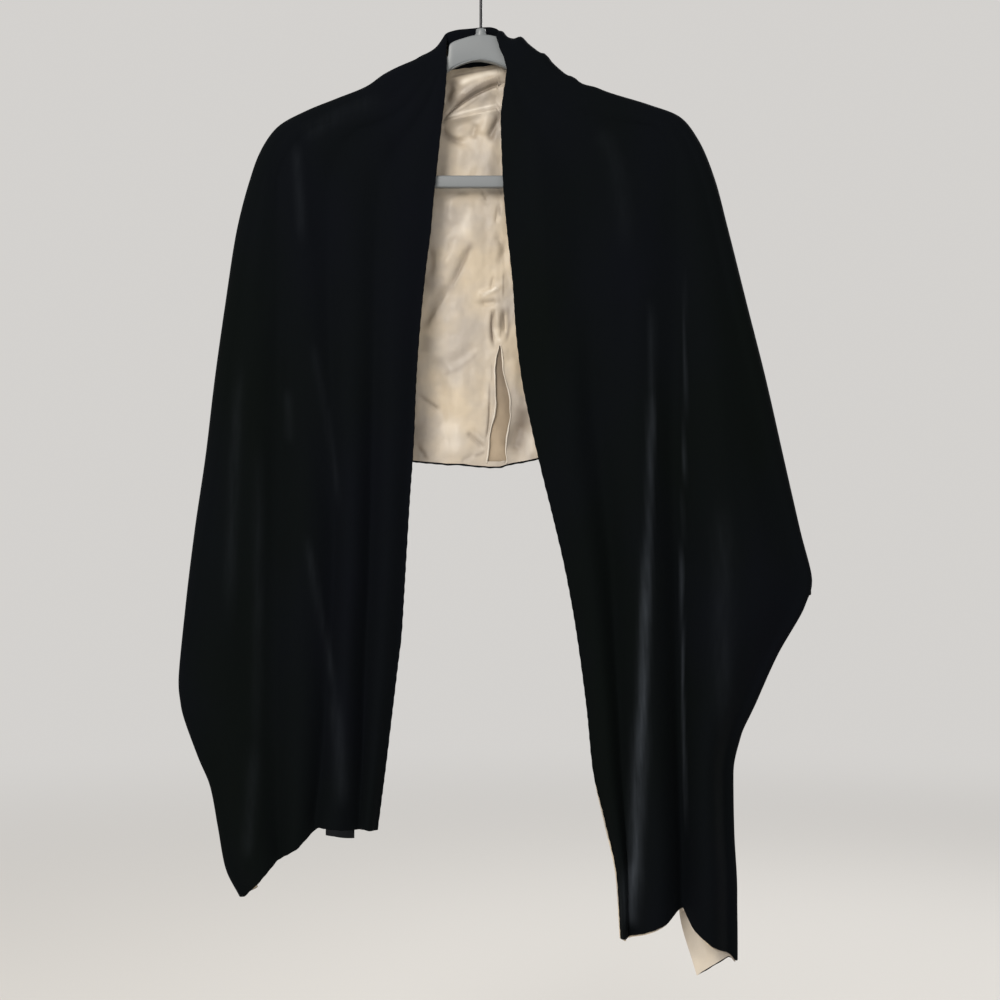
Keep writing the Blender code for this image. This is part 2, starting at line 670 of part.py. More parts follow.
back_rows = np.concatenate([[seam * 3, 0.33, 0.66, 1], 1 + np.linspace(0, 1, 12)[1:]])
u, w = np.meshgrid(np.arange(float(len(back_sections["edge_x"]))), back_rows, indexing="ij")
points, normals = facing(whole_back, u, w, 1)
lining = add_cloth("back", points, normals)
cut_with(lining, add_slit_cutter())

add_label()
add_hanger()
add_hook()
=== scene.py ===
"""Looks of the velvet stole on its hanger: cloth drape, satin creases, materials, light and camera.

Lengths in the tables are in millimetres and become metres when a mesh is made.
"""

import math

import bpy
import numpy as np
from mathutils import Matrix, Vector


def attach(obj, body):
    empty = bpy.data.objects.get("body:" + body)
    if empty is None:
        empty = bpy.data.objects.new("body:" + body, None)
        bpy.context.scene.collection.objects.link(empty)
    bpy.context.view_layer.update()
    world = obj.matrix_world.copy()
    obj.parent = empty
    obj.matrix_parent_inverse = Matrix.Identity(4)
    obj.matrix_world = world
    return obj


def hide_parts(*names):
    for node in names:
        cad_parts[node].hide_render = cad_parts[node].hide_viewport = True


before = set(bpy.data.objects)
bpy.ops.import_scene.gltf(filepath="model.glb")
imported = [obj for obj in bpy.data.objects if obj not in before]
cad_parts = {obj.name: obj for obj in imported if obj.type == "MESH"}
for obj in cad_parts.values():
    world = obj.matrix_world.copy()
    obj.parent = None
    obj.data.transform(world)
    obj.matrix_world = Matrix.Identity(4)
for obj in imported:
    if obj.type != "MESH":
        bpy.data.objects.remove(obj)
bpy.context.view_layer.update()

PILE_FACE = 1.2
LINING_FACE = -1.15
EDGE_ROUND = 1.2
EDGE_DEEP = 2.25
EDGE_TURNED = 2.5
LINING_REACH = 0.8
LINING_SHOWS = 1.9
CORNER_REACH = -0.3
BACK_HEM_REACH = -0.7


def table(columns, *rows):
    """Each named column of a table as one array."""
    return dict(zip(columns.split(), np.array(rows, float).T))


# Crosswise sections of the cloth, from the inner edge over the fold to the back hem.
SECTION_COLUMNS = "edge_x edge_z fold_x fold_z hem_x hem_z mid_y radius hem_y curl tail"
LEFT_SECTIONS = table(
    SECTION_COLUMNS,
    (-35.6, -86, -36, -80, -36, -538, 11.7, 2.7, 18, 90, 0),
    (-36.6, -98, -45, -95.5, -45, -537, 3.5, 9.5, 18, 90, 0),
    (-36, -120, -61, -107, -58, -536, 0.8, 9.5, 18, 90, 0),
    (-38, -150, -90, -120, -86, -533, 0.5, 9.5, 17, 90, 0),
    (-42, -185, -121, -139.5, -114, -530, 0.5, 9.5, 19, 90, 0),
    (-46, -222, -152, -152, -142, -528, 0.5, 10, 24, 90, 0),
    (-50, -260, -184, -165, -170, -528, 0.5, 10.5, 26, 90, 0),
    (-53, -294, -214, -182, -195, -530, 0.5, 11, 22, 90, 0),
    (-57, -325, -233, -210, -214, -533, 0.5, 12, 18, 90, 0),
    (-60, -352, -243, -238, -228, -543, 0.5, 13, 20, 90, 0),
    (-64, -395, -256.5, -290, -244, -568, 0.5, 14, 25, 90, 0),
    (-68, -452, -269, -370, -262, -622, 0.5, 15, 26, 90, 0),
    (-70.5, -515, -280, -449, -276, -675, 0, 15, 20, 90, 0),
    (-74.5, -572, -289.5, -528.5, -288, -715, 0, 14, 16, 90, 0),
    (-78, -628, -301, -608, -301, -748, -1, 12, 15, 90, 0),
    (-81, -678, -310.5, -687.5, -311, -775, -2, 9, 11, 90, 0),
    (-84, -722, -318, -768, -318, -784, -2, 7, 5, 90, 0),
    (-87, -746, -315.5, -794, -315.5, -794, -2, 7, 5, 90, 0),
    (-90, -772, -298, -846, -298, -846, -3, 7, 4, 125, 4),
    (-94, -806, -284, -880, -284, -880, -4, 7, 3, 150, 12),
    (-99, -848, -276, -922, -276, -922, -5, 7, 2, 165, 16),
    (-104, -888, -268, -965, -268, -965, -6, 7, 1, 170, 16),
    (-108.5, -925, -253, -994, -253, -994, -7, 7, 0, 170, 12),
)
RIGHT_SECTIONS = table(
    SECTION_COLUMNS,
    (20, -84, 20.5, -78, 20.5, -541, 8.4, 6, 18, 90, 0),
    (18, -85.2, 24, -80.6, 24.5, -540, 2.6, 10.9, 18, 90, 0),
    (20.8, -96, 29, -86.2, 31, -538, 1.8, 11.3, 18, 90, 0),
    (29, -121, 47, -92, 48, -535, 1.2, 10.8, 17, 90, 0),
    (26, -146, 72, -110.5, 71, -530, 0.8, 9.8, 17, 90, 0),
    (23, -174, 101, -133, 98, -527, 0.5, 9.5, 19, 90, 0),
    (24, -208, 138, -146, 132, -528, 0.5, 10, 24, 90, 0),
    (26, -250, 179, -158.5, 168, -528, 0.5, 10.5, 26, 90, 0),
    (30, -295, 211, -171, 194, -530, 0.5, 11, 22, 90, 0),
    (33, -322, 231, -196, 212, -535, 0.5, 12, 18, 90, 0),
    (36, -352, 248, -237, 232, -540, 0.5, 13, 20, 90, 0),
    (39, -398, 262, -290, 250, -552, 0.5, 14, 25, 90, 0),
    (45, -448, 282, -369.5, 272, -604, 0.5, 15, 26, 90, 0),
    (55, -498, 302, -449, 294, -650, 0, 15, 20, 90, 0),
    (66, -546, 320, -528.5, 314, -674, 0, 14, 16, 90, 0),
    (78, -594, 338, -608, 335, -682, -1, 11, 13, 90, 0),
    (88, -636, 350.5, -662, 350.5, -676, -2, 7, 5, 90, 0),
    (93, -660, 343, -688, 343, -688, -2, 7, 5, 90, 0),
    (101, -704, 314, -740, 314, -740, -2, 8, 4, 120, 5),
    (108, -752, 290, -793, 290, -793, -3, 8, 3, 145, 18),
    (114, -800, 275, -826, 275, -826, -4, 8, 2, 165, 30),
    (120, -860, 267, -866, 267, -866, -5, 8, 1, 178, 44),
    (133, -915, 268, -926, 268, -926, -6, 8, 0, 180, 50),
    (145, -972, 271, -990, 271, -990, -7, 8, 0, 180, 50),
    (149, -1037, 271, -1061, 271, -1061, -8, 8, 0, 180, 32),
)
COLLAR_SECTIONS = table(
    SECTION_COLUMNS,
    (-33.8, -118, -34.2, -79, -34.2, -538, 11.7, 2.7, 18, 90, 0),
    (-23, -116, -23.5, -76, -23, -538, 11.7, 2.7, 18, 90, 0),
    (-9, -114.5, -10, -74.8, -10, -539.5, 11.7, 2.7, 19, 90, 0),
    (6, -113, 3, -73.5, 4, -540.5, 11.7, 2.7, 20, 90, 0),
    (16, -112, 10, -73.3, 11, -541, 11.7, 2.7, 19, 90, 0),
    (28, -110, 17.6, -75.4, 17.5, -541, 11.2, 3.2, 18, 90, 0),
)
CORNER = 16

ROLL_HEIGHTS = (-350, -650, -950)
VALLEY_COLUMNS = "x_high x_mid x_low"
LEFT_VALLEYS = table(VALLEY_COLUMNS, (-112, -118, -128), (-166, -158, -176), (-222, -222, -216))
RIGHT_VALLEYS = table(VALLEY_COLUMNS, (112, 140, 156), (217, 212, 217))
ROLL_COLUMNS = "depth_high depth_mid depth_low tight lean"
LEFT_ROLLS = table(
    ROLL_COLUMNS,
    (5, 10, 11, 0.2, 0.1),
    (7, 14, 16, 0.25, -0.15),
    (6, 12, 15, 0.25, 0.2),
    (4, 9, 12, 0.2, -0.2),
)
RIGHT_ROLLS = table(
    ROLL_COLUMNS,
    (7, 12, 8, 0.15, 0.1),
    (10, 22, 28, 0.25, -0.1),
    (8, 22, 28, 0.3, 0.15),
)
LEFT_END_HEM = table(
    "x z",
    (-253, -994), (-248, -992.5), (-233, -977.5), (-214, -955), (-191, -940),
    (-178, -926), (-171, -920), (-152, -919.5), (-131, -922), (-120, -921), (-108.5, -923),
)
RIGHT_END_HEM = table(
    "x z",
    (149, -1037), (165, -1030), (180, -1022), (195, -1016), (208, -1005.5), (214, -1003),
    (219, -1014), (224, -1024), (242, -1039), (266, -1054), (271, -1061),
)
END_HEM_REACH = 2.5
RIGHT_TAIL_DROP = 25

CREASE_COLUMNS = "x1 z1 x2 z2 width rise"
BACK_CREASES = table(
    CREASE_COLUMNS,
    (34, -128, -34, -168, 10, 3.5),
    (24, -142, -30, -190, 14, -3),
    (14, -160, 6, -240, 10, 1.6),
    (-12, -280, -34, -345, 9, 2.2),
    (16, -370, 8, -520, 15, 1.8),
    (-52, -330, -46, -520, 16, -2.5),
    (46, -400, 40, -530, 12, -3),
    (-30, -420, -20, -536, 10, 2),
    (-150, -330, -140, -528, 22, 9),
    (-195, -300, -196, -530, 20, -7),
    (-235, -360, -246, -568, 16, 7),
    (150, -330, 146, -528, 22, 9),
    (196, -300, 194, -530, 20, -7),
    (240, -360, 251, -556, 16, 7),
    (-100, -220, -92, -500, 26, -4),
    (104, -230, 96, -500, 26, -4),
)
# Folds seen on the satin between the falls, each an arc through three points. rise is towards the
# front, and steep narrows the fold's upper or left flank.
MARK_COLUMNS = "x1 z1 x2 z2 x3 z3 width rise"
FOLD_COLUMNS = MARK_COLUMNS + " steep"
SATIN_FOLDS = table(
    FOLD_COLUMNS,
    (36, -121, 2, -129, -33, -153, 6, 6, 1),
    (40, -130, -3, -142, -42, -172, 1.8, -5, 1),
    (-27, -133, -33, -143, -36, -156, 4, -2.2, 1),
    (30, -146, 4, -150, -18, -160, 5, -1.8, 1),
    (-46, -174, -4, -164, 36, -157, 4.2, 4.2, 0.3),
    (-42, -176, -31, -190, -8, -195, 3.6, -3.2, 1),
    (-4, -173, -6.5, -182, -9, -191, 4.2, -2.2, 1),
    (23, -164, 15, -179, 8, -193, 4.2, -3.8, 1),
    (8, -162, 4, -175, 1, -188, 5, 2.2, 1),
    (-22, -176, -20, -183, -19, -190, 5, 1.6, 1),
    (-23, -246, -17, -249, -11, -246, 2.4, -1.2, 1),
    (1, -243, 5, -250, 9, -257, 2.6, -1.6, 1),
    (21, -262, 18, -272, 17, -282, 2.4, -1.6, 1),
    (-28, -252, -31, -268, -29, -284, 5, 1.6, 1),
    (-11, -305, -22, -328, -36, -356, 4.6, -3.4, 0.7),
    (-35, -346, -47, -366, -64, -396, 6, -3.6, 0.8),
    (-57, -304, -52, -322, -57, -341, 4.5, -2.2, 1),
    (-27, -293, -30, -311, -42, -332, 5.5, 2.2, 1),
    (15, -335, 13, -346, 12, -354, 2.4, -1.8, 1),
    (-3, -356, 10, -353, 24, -347, 2.2, 2.4, 1),
    (-1, -365, 10, -366, 18, -362, 2.8, -2.4, 1),
    (15, -372, 12.5, -387, 16, -411, 1.9, -2.8, 1),
    (25, -372, 26.5, -387, 25, -399, 2.8, -2.6, 1),
    (20, -375, 19, -390, 21, -404, 2.1, 2.2, 1),
    (2, -408, -19, -422, -35, -434, 6, -2, 1),
    (-67, -464, -54, -473, -44, -481, 1.8, -2.2, 1),
    (-16, -503, -5, -512, 5, -521, 2.8, -2.6, 1),
    (-8, -499, -1, -507, 6, -513, 2, -1.4, 1),
    (-21, -535, -14, -532, -5, -527, 2, -1.5, 1),
    (9, -472, 10.5, -488, 7, -513, 2.1, -2.4, 1),
    (-69, -515, -63, -524, -58, -530, 2.2, -1.4, 1),
    (46, -488, 38, -509, 34, -524, 8, -3.4, 1),
    (29, -316, 34, -337, 37, -355, 3, 1.8, 1),
    (13, -293, 25, -305, 23, -321, 4.5, -2, 1),
    (-13, -432, -14, -462, -10, -492, 14, 2.2, 1),
    (-46, -420, -50, -450, -48, -500, 11, -2.2, 1),
    (-2, -270, -6, -295, -4, -330, 12, 2, 1),
    (38, -420, 37, -450, 44, -480, 6, 2, 1),
)
# Soft folds down the falls, as arcs too.
FALL_FOLDS = table(
    FOLD_COLUMNS,
    (-194, -185, -188, -250, -182, -330, 9, 2.4, 1),
    (-176, -400, -164, -500, -144, -620, 8, 2.6, 0.6),
    (-184, -600, -168, -700, -142, -860, 8, 2.8, 0.6),
    (-203, -380, -201, -450, -199, -540, 7, 1.6, 1),
    (-232, -480, -236, -640, -236, -880, 10, 2.6, 1),
    (-252, -400, -258, -560, -262, -760, 8, 2, 1),
    (-95, -300, -98, -420, -100, -640, 12, 1.8, 1),
    (-215, -190, -222, -280, -232, -420, 10, -1.8, 1),
    (-130, -650, -126, -780, -122, -910, 9, -2, 1),
    (-110, -180, -96, -240, -88, -330, 10, 1.6, 1),
    (181, -400, 177, -580, 166, -800, 5, 3, 0.7),
    (167, -780, 164, -900, 161, -1020, 5, 3, 0.7),
    (216, -330, 214, -600, 218, -980, 3.2, -2.6, 1),
    (150, -330, 148, -440, 146, -560, 9, -2, 1),
    (246, -420, 254, -520, 262, -640, 9, 2, 1),
    (232, -640, 238, -800, 246, -980, 8, 1.8, 1),
    (110, -300, 104, -420, 98, -560, 12, 2, 1),
    (60, -170, 62, -280, 66, -420, 10, 1.6, 1),
    (285, -470, 298, -560, 314, -650, 9, -1.8, 1),
    (120, -190, 140, -230, 150, -300, 11, 1.8, 1),
)
# Marks painted lighter into the velvet's colour: partly pile that lies the other way, partly painted sheen
# along the folds where the velvet catches the light.
NAP_AND_SHEEN_MARKS = table(
    MARK_COLUMNS,
    (179, -360, 180, -450, 178, -560, 3, 0.16),
    (180, -460, 178, -540, 176, -650, 3.2, 0.4),
    (176, -600, 172, -720, 169, -840, 4.4, 0.72),
    (170, -780, 165, -900, 161, -1025, 6, 0.7),
    (164, -950, 157, -990, 162, -1028, 6, 0.6),
    (215, -320, 216, -480, 213, -620, 1.3, 0.26),
    (214, -580, 214, -760, 218, -940, 1.5, 0.55),
    (252, -560, 254, -700, 252, -840, 9, 0.1),
    (-194, -195, -190, -250, -186, -315, 4.5, 0.1),
    (-175, -405, -163, -480, -144, -595, 4, 0.1),
    (-182, -605, -168, -690, -148, -800, 4, 0.14),
    (-156, -770, -146, -840, -144, -905, 7, 0.12),
    (-202, -455, -200, -490, -199, -520, 4.5, 0.08),
    (-231, -500, -233, -680, -236, -860, 5, 0.09),
    (-236, -820, -240, -900, -246, -960, 6, 0.11),
    (-250, -420, -258, -560, -263, -720, 5.5, 0.09),
    (120, -185, 145, -230, 152, -330, 8, 0.06),
    (-90, -150, -150, -172, -190, -200, 8, 0.06),
)
# Painted sheen along the back's folds, with pile that lies the other way.
BACK_NAP_AND_SHEEN_MARKS = table(
    MARK_COLUMNS,
    (-194, -290, -198, -410, -195, -522, 7, 0.5),
    (197, -305, 196, -420, 193, -520, 7, 0.42),
    (-101, -200, -97, -350, -92, -505, 8, 0.34),
    (105, -215, 101, -360, 96, -500, 8, 0.4),
    (-53, -330, -49, -430, -46, -524, 6, 0.3),
    (47, -380, 43, -460, 40, -528, 6, 0.34),
    (-18, -115, -12, -220, -17, -330, 9, 0.24),
    (-262, -420, -276, -540, -296, -665, 6, 0.4),
    (277, -420, 300, -540, 328, -645, 6, 0.4),
    (-165, -172, -100, -146, -45, -112, 6, 0.3),
    (165, -172, 100, -150, 36, -108, 6, 0.28),
)
# Painted shade and painted highlights in the satin's colour, where it turns from the light or towards it.
# rise is how much.
PAINTED_SATIN_SHADES = table(
    MARK_COLUMNS,
    (-35, -121.5, -6, -117, 27, -114, 2.2, 0.4),
    (-36, -126.5, -10, -120.5, 27, -114.5, 1.1, 0.95),
    (-27, -124, -31, -138, -35, -154, 7, 0.8),
    (-34, -163, -6, -139.5, 34, -125, 4.4, 0.8),
    (-42, -172, -7, -147, 36, -127, 1.2, 1.2),
    (-29, -166, -16, -157.5, 5, -143, 0.7, 0.45),
    (22, -159, 15, -179, 13, -198, 5, 0.8),
    (-41, -173, -36, -187, -18, -194, 4.4, 0.6),
    (-3, -171, -4.5, -182, -5, -194, 3.6, 0.4),
    (-44, -207, -6, -213, 26, -216, 15, 0.16),
    (19, -243, 22, -247, 23, -252, 1.6, 0.7),
    (19, -257, 20.5, -266, 22.5, -275, 2.2, 0.6),
    (-42, -259, -26, -251, -10, -246, 2.8, 0.3),
    (0, -253, 5, -259, 12, -262, 3, 0.3),
    (-9, -297, -18, -322, -37, -360, 4, 0.75),
    (-34, -344, -49, -371, -64, -400, 6, 0.45),
    (-50, -298, -54, -330, -58, -362, 8, 0.5),
    (26, -296, 22, -312, 18, -328, 3.6, 0.45),
    (25, -332, 24.7, -346, 24.5, -362, 1.1, 0.65),
    (-6, -368, 6, -362.5, 26, -365, 3, 0.38),
    (18, -369, 11.5, -391, 15.5, -416, 2.2, 0.95),
    (28, -366, 31, -388, 26, -410, 1.9, 0.75),
    (25, -368, 22.5, -382, 20, -397, 3.6, 0.65),
    (-44, -442, -20, -434, 5, -410, 2.4, 0.28),
    (-54, -398, -58, -410, -60, -420, 6, 0.35),
    (-69, -461, -54, -471, -40, -480, 2.4, 0.5),
    (-15, -502, -5, -512, 8, -522, 2.6, 0.45),
    (10, -445, 9, -482, 5, -520, 1.2, 0.8),
    (12, -428, 12.5, -440, 12, -452, 0.9, 0.4),
    (45, -470, 44, -499, 36, -532, 8, 1),
    (-8, -529, 0, -527, 6, -523, 1.6, 0.55),
    (-66, -518, -61, -526, -54, -535, 2.2, 0.55),
    (-64, -490, -66, -508, -67, -528, 5, 0.3),
)
PAINTED_SATIN_HIGHLIGHTS = table(
    MARK_COLUMNS,
    (-22, -134, -6, -125.5, 31, -118, 3.4, 0.75),
    (-37, -169.5, -10, -160, 25, -152.5, 1.1, 0.8),
    (-14, -167, 2, -166, 14, -162, 5, 0.35),
    (-31, -205, -5, -212, 20, -215, 14, 0.06),
    (-58, -244, 0, -243, 52, -244, 4, 0.6),
    (0, -359, 10, -354, 22, -347, 1.6, 0.7),
    (15, -390, 17.5, -400, 22, -408, 1.6, 0.5),
    (30, -300, 34, -318, 37, -340, 1.6, 0.45),
    (-20, -300, -14, -275, -10, -262, 5, 0.3),
    (-40, -490, -30, -505, -24, -530, 11, 0.35),
    (50, -500, 54, -515, 56, -530, 3, 0.45),
)
# Small gathers that stand up along the ridge at the neck.
RIDGE_BUMPS = table(
    "x width rise",
    (43.5, 5, 4.5), (69.5, 4.5, 3.8), (99, 5, 2.8), (-62, 5, 1), (122, 8, 1.2), (-104, 9, 1.2),
)
SLIT = table(
    "z left right",
    (-411, 20.6, 21.4), (-425, 17.5, 23.5), (-440, 15.5, 25), (-456, 16.5, 28.5),
    (-470, 17, 32), (-484, 15.5, 32), (-500, 12, 29.5), (-514, 9.5, 28), (-526, 8.5, 27), (-534, 7.5, 28),
)

HANGER_MIDDLE = 1.0
HANGER_SECTIONS = table(
    "outer_x outer_z inner_x inner_z half_y left_outer left_inner",
    (0, -83.4, 0, -111.3, 5.5, 0, 0),
    (9, -84.3, 9, -112.8, 5.5, -0.6, 1.2),
    (18, -86.4, 17.5, -115.4, 5.5, -1, 1.8),
    (25, -90, 25, -118.6, 5.5, 0.4, 2),
    (30, -94.5, 29, -120.8, 5.5, 2.7, 2.2),
    (33.5, -102, 31.5, -122.8, 5.4, 6.5, 3),
    (35, -108, 34, -124.5, 5.2, 2, 3),
    (44, -110.6, 41, -127.5, 5, 0, 0),
    (62, -118.5, 58, -134, 5, 0, 0),
    (85, -129, 81, -143.5, 5, 0, 0),
    (110, -139.2, 106, -153.5, 5, 0, 0),
    (140, -150.6, 136, -165, 5, 0, 0),
    (168, -161.1, 163, -175.5, 5, 0, 0),
    (190, -170.1, 184, -184.5, 5, 0, 0),
    (203, -181, 194, -193, 5, 0, 0),
    (211, -192, 199, -200, 5, 0, 0),
    (214, -205, 201.5, -207.5, 5, 0, 0),
    (212.5, -219, 200.5, -216, 5, 0, 0),
    (206, -233, 195.5, -225, 5, 0, 0),
    (195, -242, 186, -231, 5, 0, 0),
    (180, -245.5, 176, -232.8, 5, 0, 0),
    (150, -245.5, 150, -232.8, 5, 0, 0),
    (75, -245.5, 75, -232.8, 5, 0, 0),
    (0, -245.5, 0, -232.8, 5, 0, 0),
)
HANGER_ROUND = 1.9
RIM_HALF = 31
RIM_RISE = 1.6
RIM_FRONT = 5.35
RIM_WIRE = 0.85
KNOB_RADIUS = 5.4
KNOB_TOP = -77.0
HOOK_WIRE = 1.55
HOOK_INSIDE = 19.0
HOOK_TIP_DEGREES = 200
HOOK_NECK_DEGREES = -70
SHANK_FOOT = -95.0

LABEL_LEFT = -161.0
LABEL_RIGHT = -132.0
LABEL_DROP = 8.2
LABEL_LEAN = 1.2
LABEL_HALF_THICK = 0.3


# Cloth surfaces


def along(keys, values, at):
    """Values read smoothly between the keys, without overshoot."""
    keys = np.asarray(keys, float)
    values = np.asarray(values, float)
    at = np.clip(at, keys[0], keys[-1])
    step = np.diff(keys)
    rate = np.diff(values) / step
    slope = np.zeros(len(keys))
    inner = rate[:-1] * rate[1:] > 0
    spread = step[:-1] + step[1:]
    weight_a = (2 * step[1:] + step[:-1]) / (3 * spread)
    weight_b = (step[1:] + 2 * step[:-1]) / (3 * spread)
    shares = weight_a / np.where(inner, rate[:-1], 1) + weight_b / np.where(inner, rate[1:], 1)
    slope[1:-1] = np.where(inner, 1 / np.where(inner, shares, 1), 0)
    slope[0] = rate[0]
    slope[-1] = rate[-1]
    k = np.clip(np.searchsorted(keys, at, side="right") - 1, 0, len(keys) - 2)
    t = (at - keys[k]) / step[k]
    start = values[k] * (1 + 2 * t) * (1 - t) ** 2 + slope[k] * step[k] * t * (1 - t) ** 2
    finish = values[k + 1] * t**2 * (3 - 2 * t) + slope[k + 1] * step[k] * t**2 * (t - 1)
    return start + finish


def ease(value):
    value = np.clip(value, 0, 1)
    return value * value * (3 - 2 * value)


# The whole cloth as one run of sections: left fall from its end to the neck, collar, right fall.
LEFT_LAST = len(LEFT_SECTIONS["edge_x"]) - 1
RIGHT_LAST = len(RIGHT_SECTIONS["edge_x"]) - 1
COLLAR_LAST = len(COLLAR_SECTIONS["edge_x"]) - 1
ALL_SECTIONS = {
    name: np.concatenate([LEFT_SECTIONS[name][::-1], COLLAR_SECTIONS[name], RIGHT_SECTIONS[name]])
    for name in SECTION_COLUMNS.split()
}
EDGE_GAPS = np.hypot(np.diff(ALL_SECTIONS["edge_x"]), np.diff(ALL_SECTIONS["edge_z"]))
FOLD_GAPS = np.hypot(np.diff(ALL_SECTIONS["fold_x"]), np.diff(ALL_SECTIONS["fold_z"]))
SECTION_GAPS = np.maximum(EDGE_GAPS, FOLD_GAPS)
COLLAR_START = LEFT_LAST + 1
RIGHT_START = COLLAR_START + COLLAR_LAST + 1


def section_at(place):
    """Every column of the sections at places along the whole cloth, with the ridge's gathers."""
    keys = np.arange(len(ALL_SECTIONS["edge_x"]))
    cut = {name: along(keys, values, place) for name, values in ALL_SECTIONS.items()}
    for x, width, rise in zip(*RIDGE_BUMPS.values()):
        cut["fold_z"] = cut["fold_z"] + rise * np.exp(-(((cut["fold_x"] - x) / width) ** 2))
    return cut


def roll_lines(cut, valleys, count):
    """Where each roll of a fall starts and ends, as shares of the way from edge to fold."""
    width = cut["fold_x"] - cut["edge_x"]
    width = np.where(np.abs(width) < 1, np.sign(cut["fold_x"]), width)
    lines = [np.zeros_like(width)]
    for k in range(count - 1):
        xs = [valleys[name][k] for name in ("x_low", "x_mid", "x_high")]
        share = np.full_like(width, (k + 1) / count)
        for _ in range(4):
            z = cut["edge_z"] + share * (cut["fold_z"] - cut["edge_z"])
            share = np.clip((along(ROLL_HEIGHTS[::-1], xs, z) - cut["edge_x"]) / width, 0, 1)
        settled = ease((-150 - cut["edge_z"]) / 200)
        share = settled * share + (1 - settled) * (k + 1) / count
        room = 0.06 * (count - 1 - k)
        lines.append(np.clip(share, lines[-1] + 0.06, 0.97 - room))
    lines.append(np.ones_like(width))
    return lines


def crease_height(x, z, creases):
    """How far the creases lift a point towards the front."""
    total = np.zeros_like(x)
    for x1, z1, x2, z2, width, rise in zip(*creases.values()):
        length = math.hypot(x2 - x1, z2 - z1)
        ax, az = (x2 - x1) / length, (z2 - z1) / length
        down = (x - x1) * ax + (z - z1) * az
        off = (x - x1) * az - (z - z1) * ax
        start = ease(down / (0.25 * length) + 0.3)
        finish = ease((length - down) / (0.25 * length) + 0.7)
        total = total + rise * np.exp(-((off / width) ** 2)) * start * finish
    return total


def fold_lift(x, z, folds, wider=1.0, only_back=False):
    """How far arcs lift a point towards the front, fading out at both ends."""
    total = np.zeros_like(x)
    share = np.linspace(0, 1, 11)
    rows = (folds[name] for name in MARK_COLUMNS.split())
    steeps = folds.get("steep", np.ones(len(folds["x1"])))
    for x1, z1, x2, z2, x3, z3, width, rise, steep in zip(*rows, steeps):
        if only_back and rise > 0:
            continue
        width = width * wider
        bend_x = 2 * x2 - (x1 + x3) / 2
        bend_z = 2 * z2 - (z1 + z3) / 2
        line_x = (1 - share) ** 2 * x1 + 2 * share * (1 - share) * bend_x + share**2 * x3
        line_z = (1 - share) ** 2 * z1 + 2 * share * (1 - share) * bend_z + share**2 * z3
        room = 3 * width
        near = (x > line_x.min() - room) & (x < line_x.max() + room)
        near &= (z > line_z.min() - room) & (z < line_z.max() + room)
        px, pz = x[near], z[near]
        best = np.full(px.shape, 1e9)
        off = np.zeros_like(px)
        along_arc = np.zeros_like(px)
        for k in range(len(share) - 1):
            run_x, run_z = line_x[k + 1] - line_x[k], line_z[k + 1] - line_z[k]
            length = math.hypot(run_x, run_z)
            t = np.clip(((px - line_x[k]) * run_x + (pz - line_z[k]) * run_z) / length**2, 0, 1)
            gap = np.hypot(px - line_x[k] - t * run_x, pz - line_z[k] - t * run_z)
            closer = gap < best
            side = (px - line_x[k]) * run_z - (pz - line_z[k]) * run_x
            best = np.where(closer, gap, best)
            off = np.where(closer, np.sign(side), off)
            along_arc = np.where(closer, (k + t) / (len(share) - 1), along_arc)
        reach = width * np.where(off < 0, steep, 1.0)
        fade = ease(along_arc / 0.25) * ease((1 - along_arc) / 0.25)
        total[near] += rise * np.exp(-((best / reach) ** 2)) * fade
    return total


def unevenness(x, z, reach):
    """Small slow swells of hanging cloth, in millimetres."""
    return (
        0.9 * np.sin(x / 23 + 1.7 * np.sin(z / 117)) * np.sin(z / 131 + x / 211)
        + 0.45 * np.sin(x / 11.3 + z / 61) * np.sin(z / 47 - x / 97 + 1.3)
    ) * reach


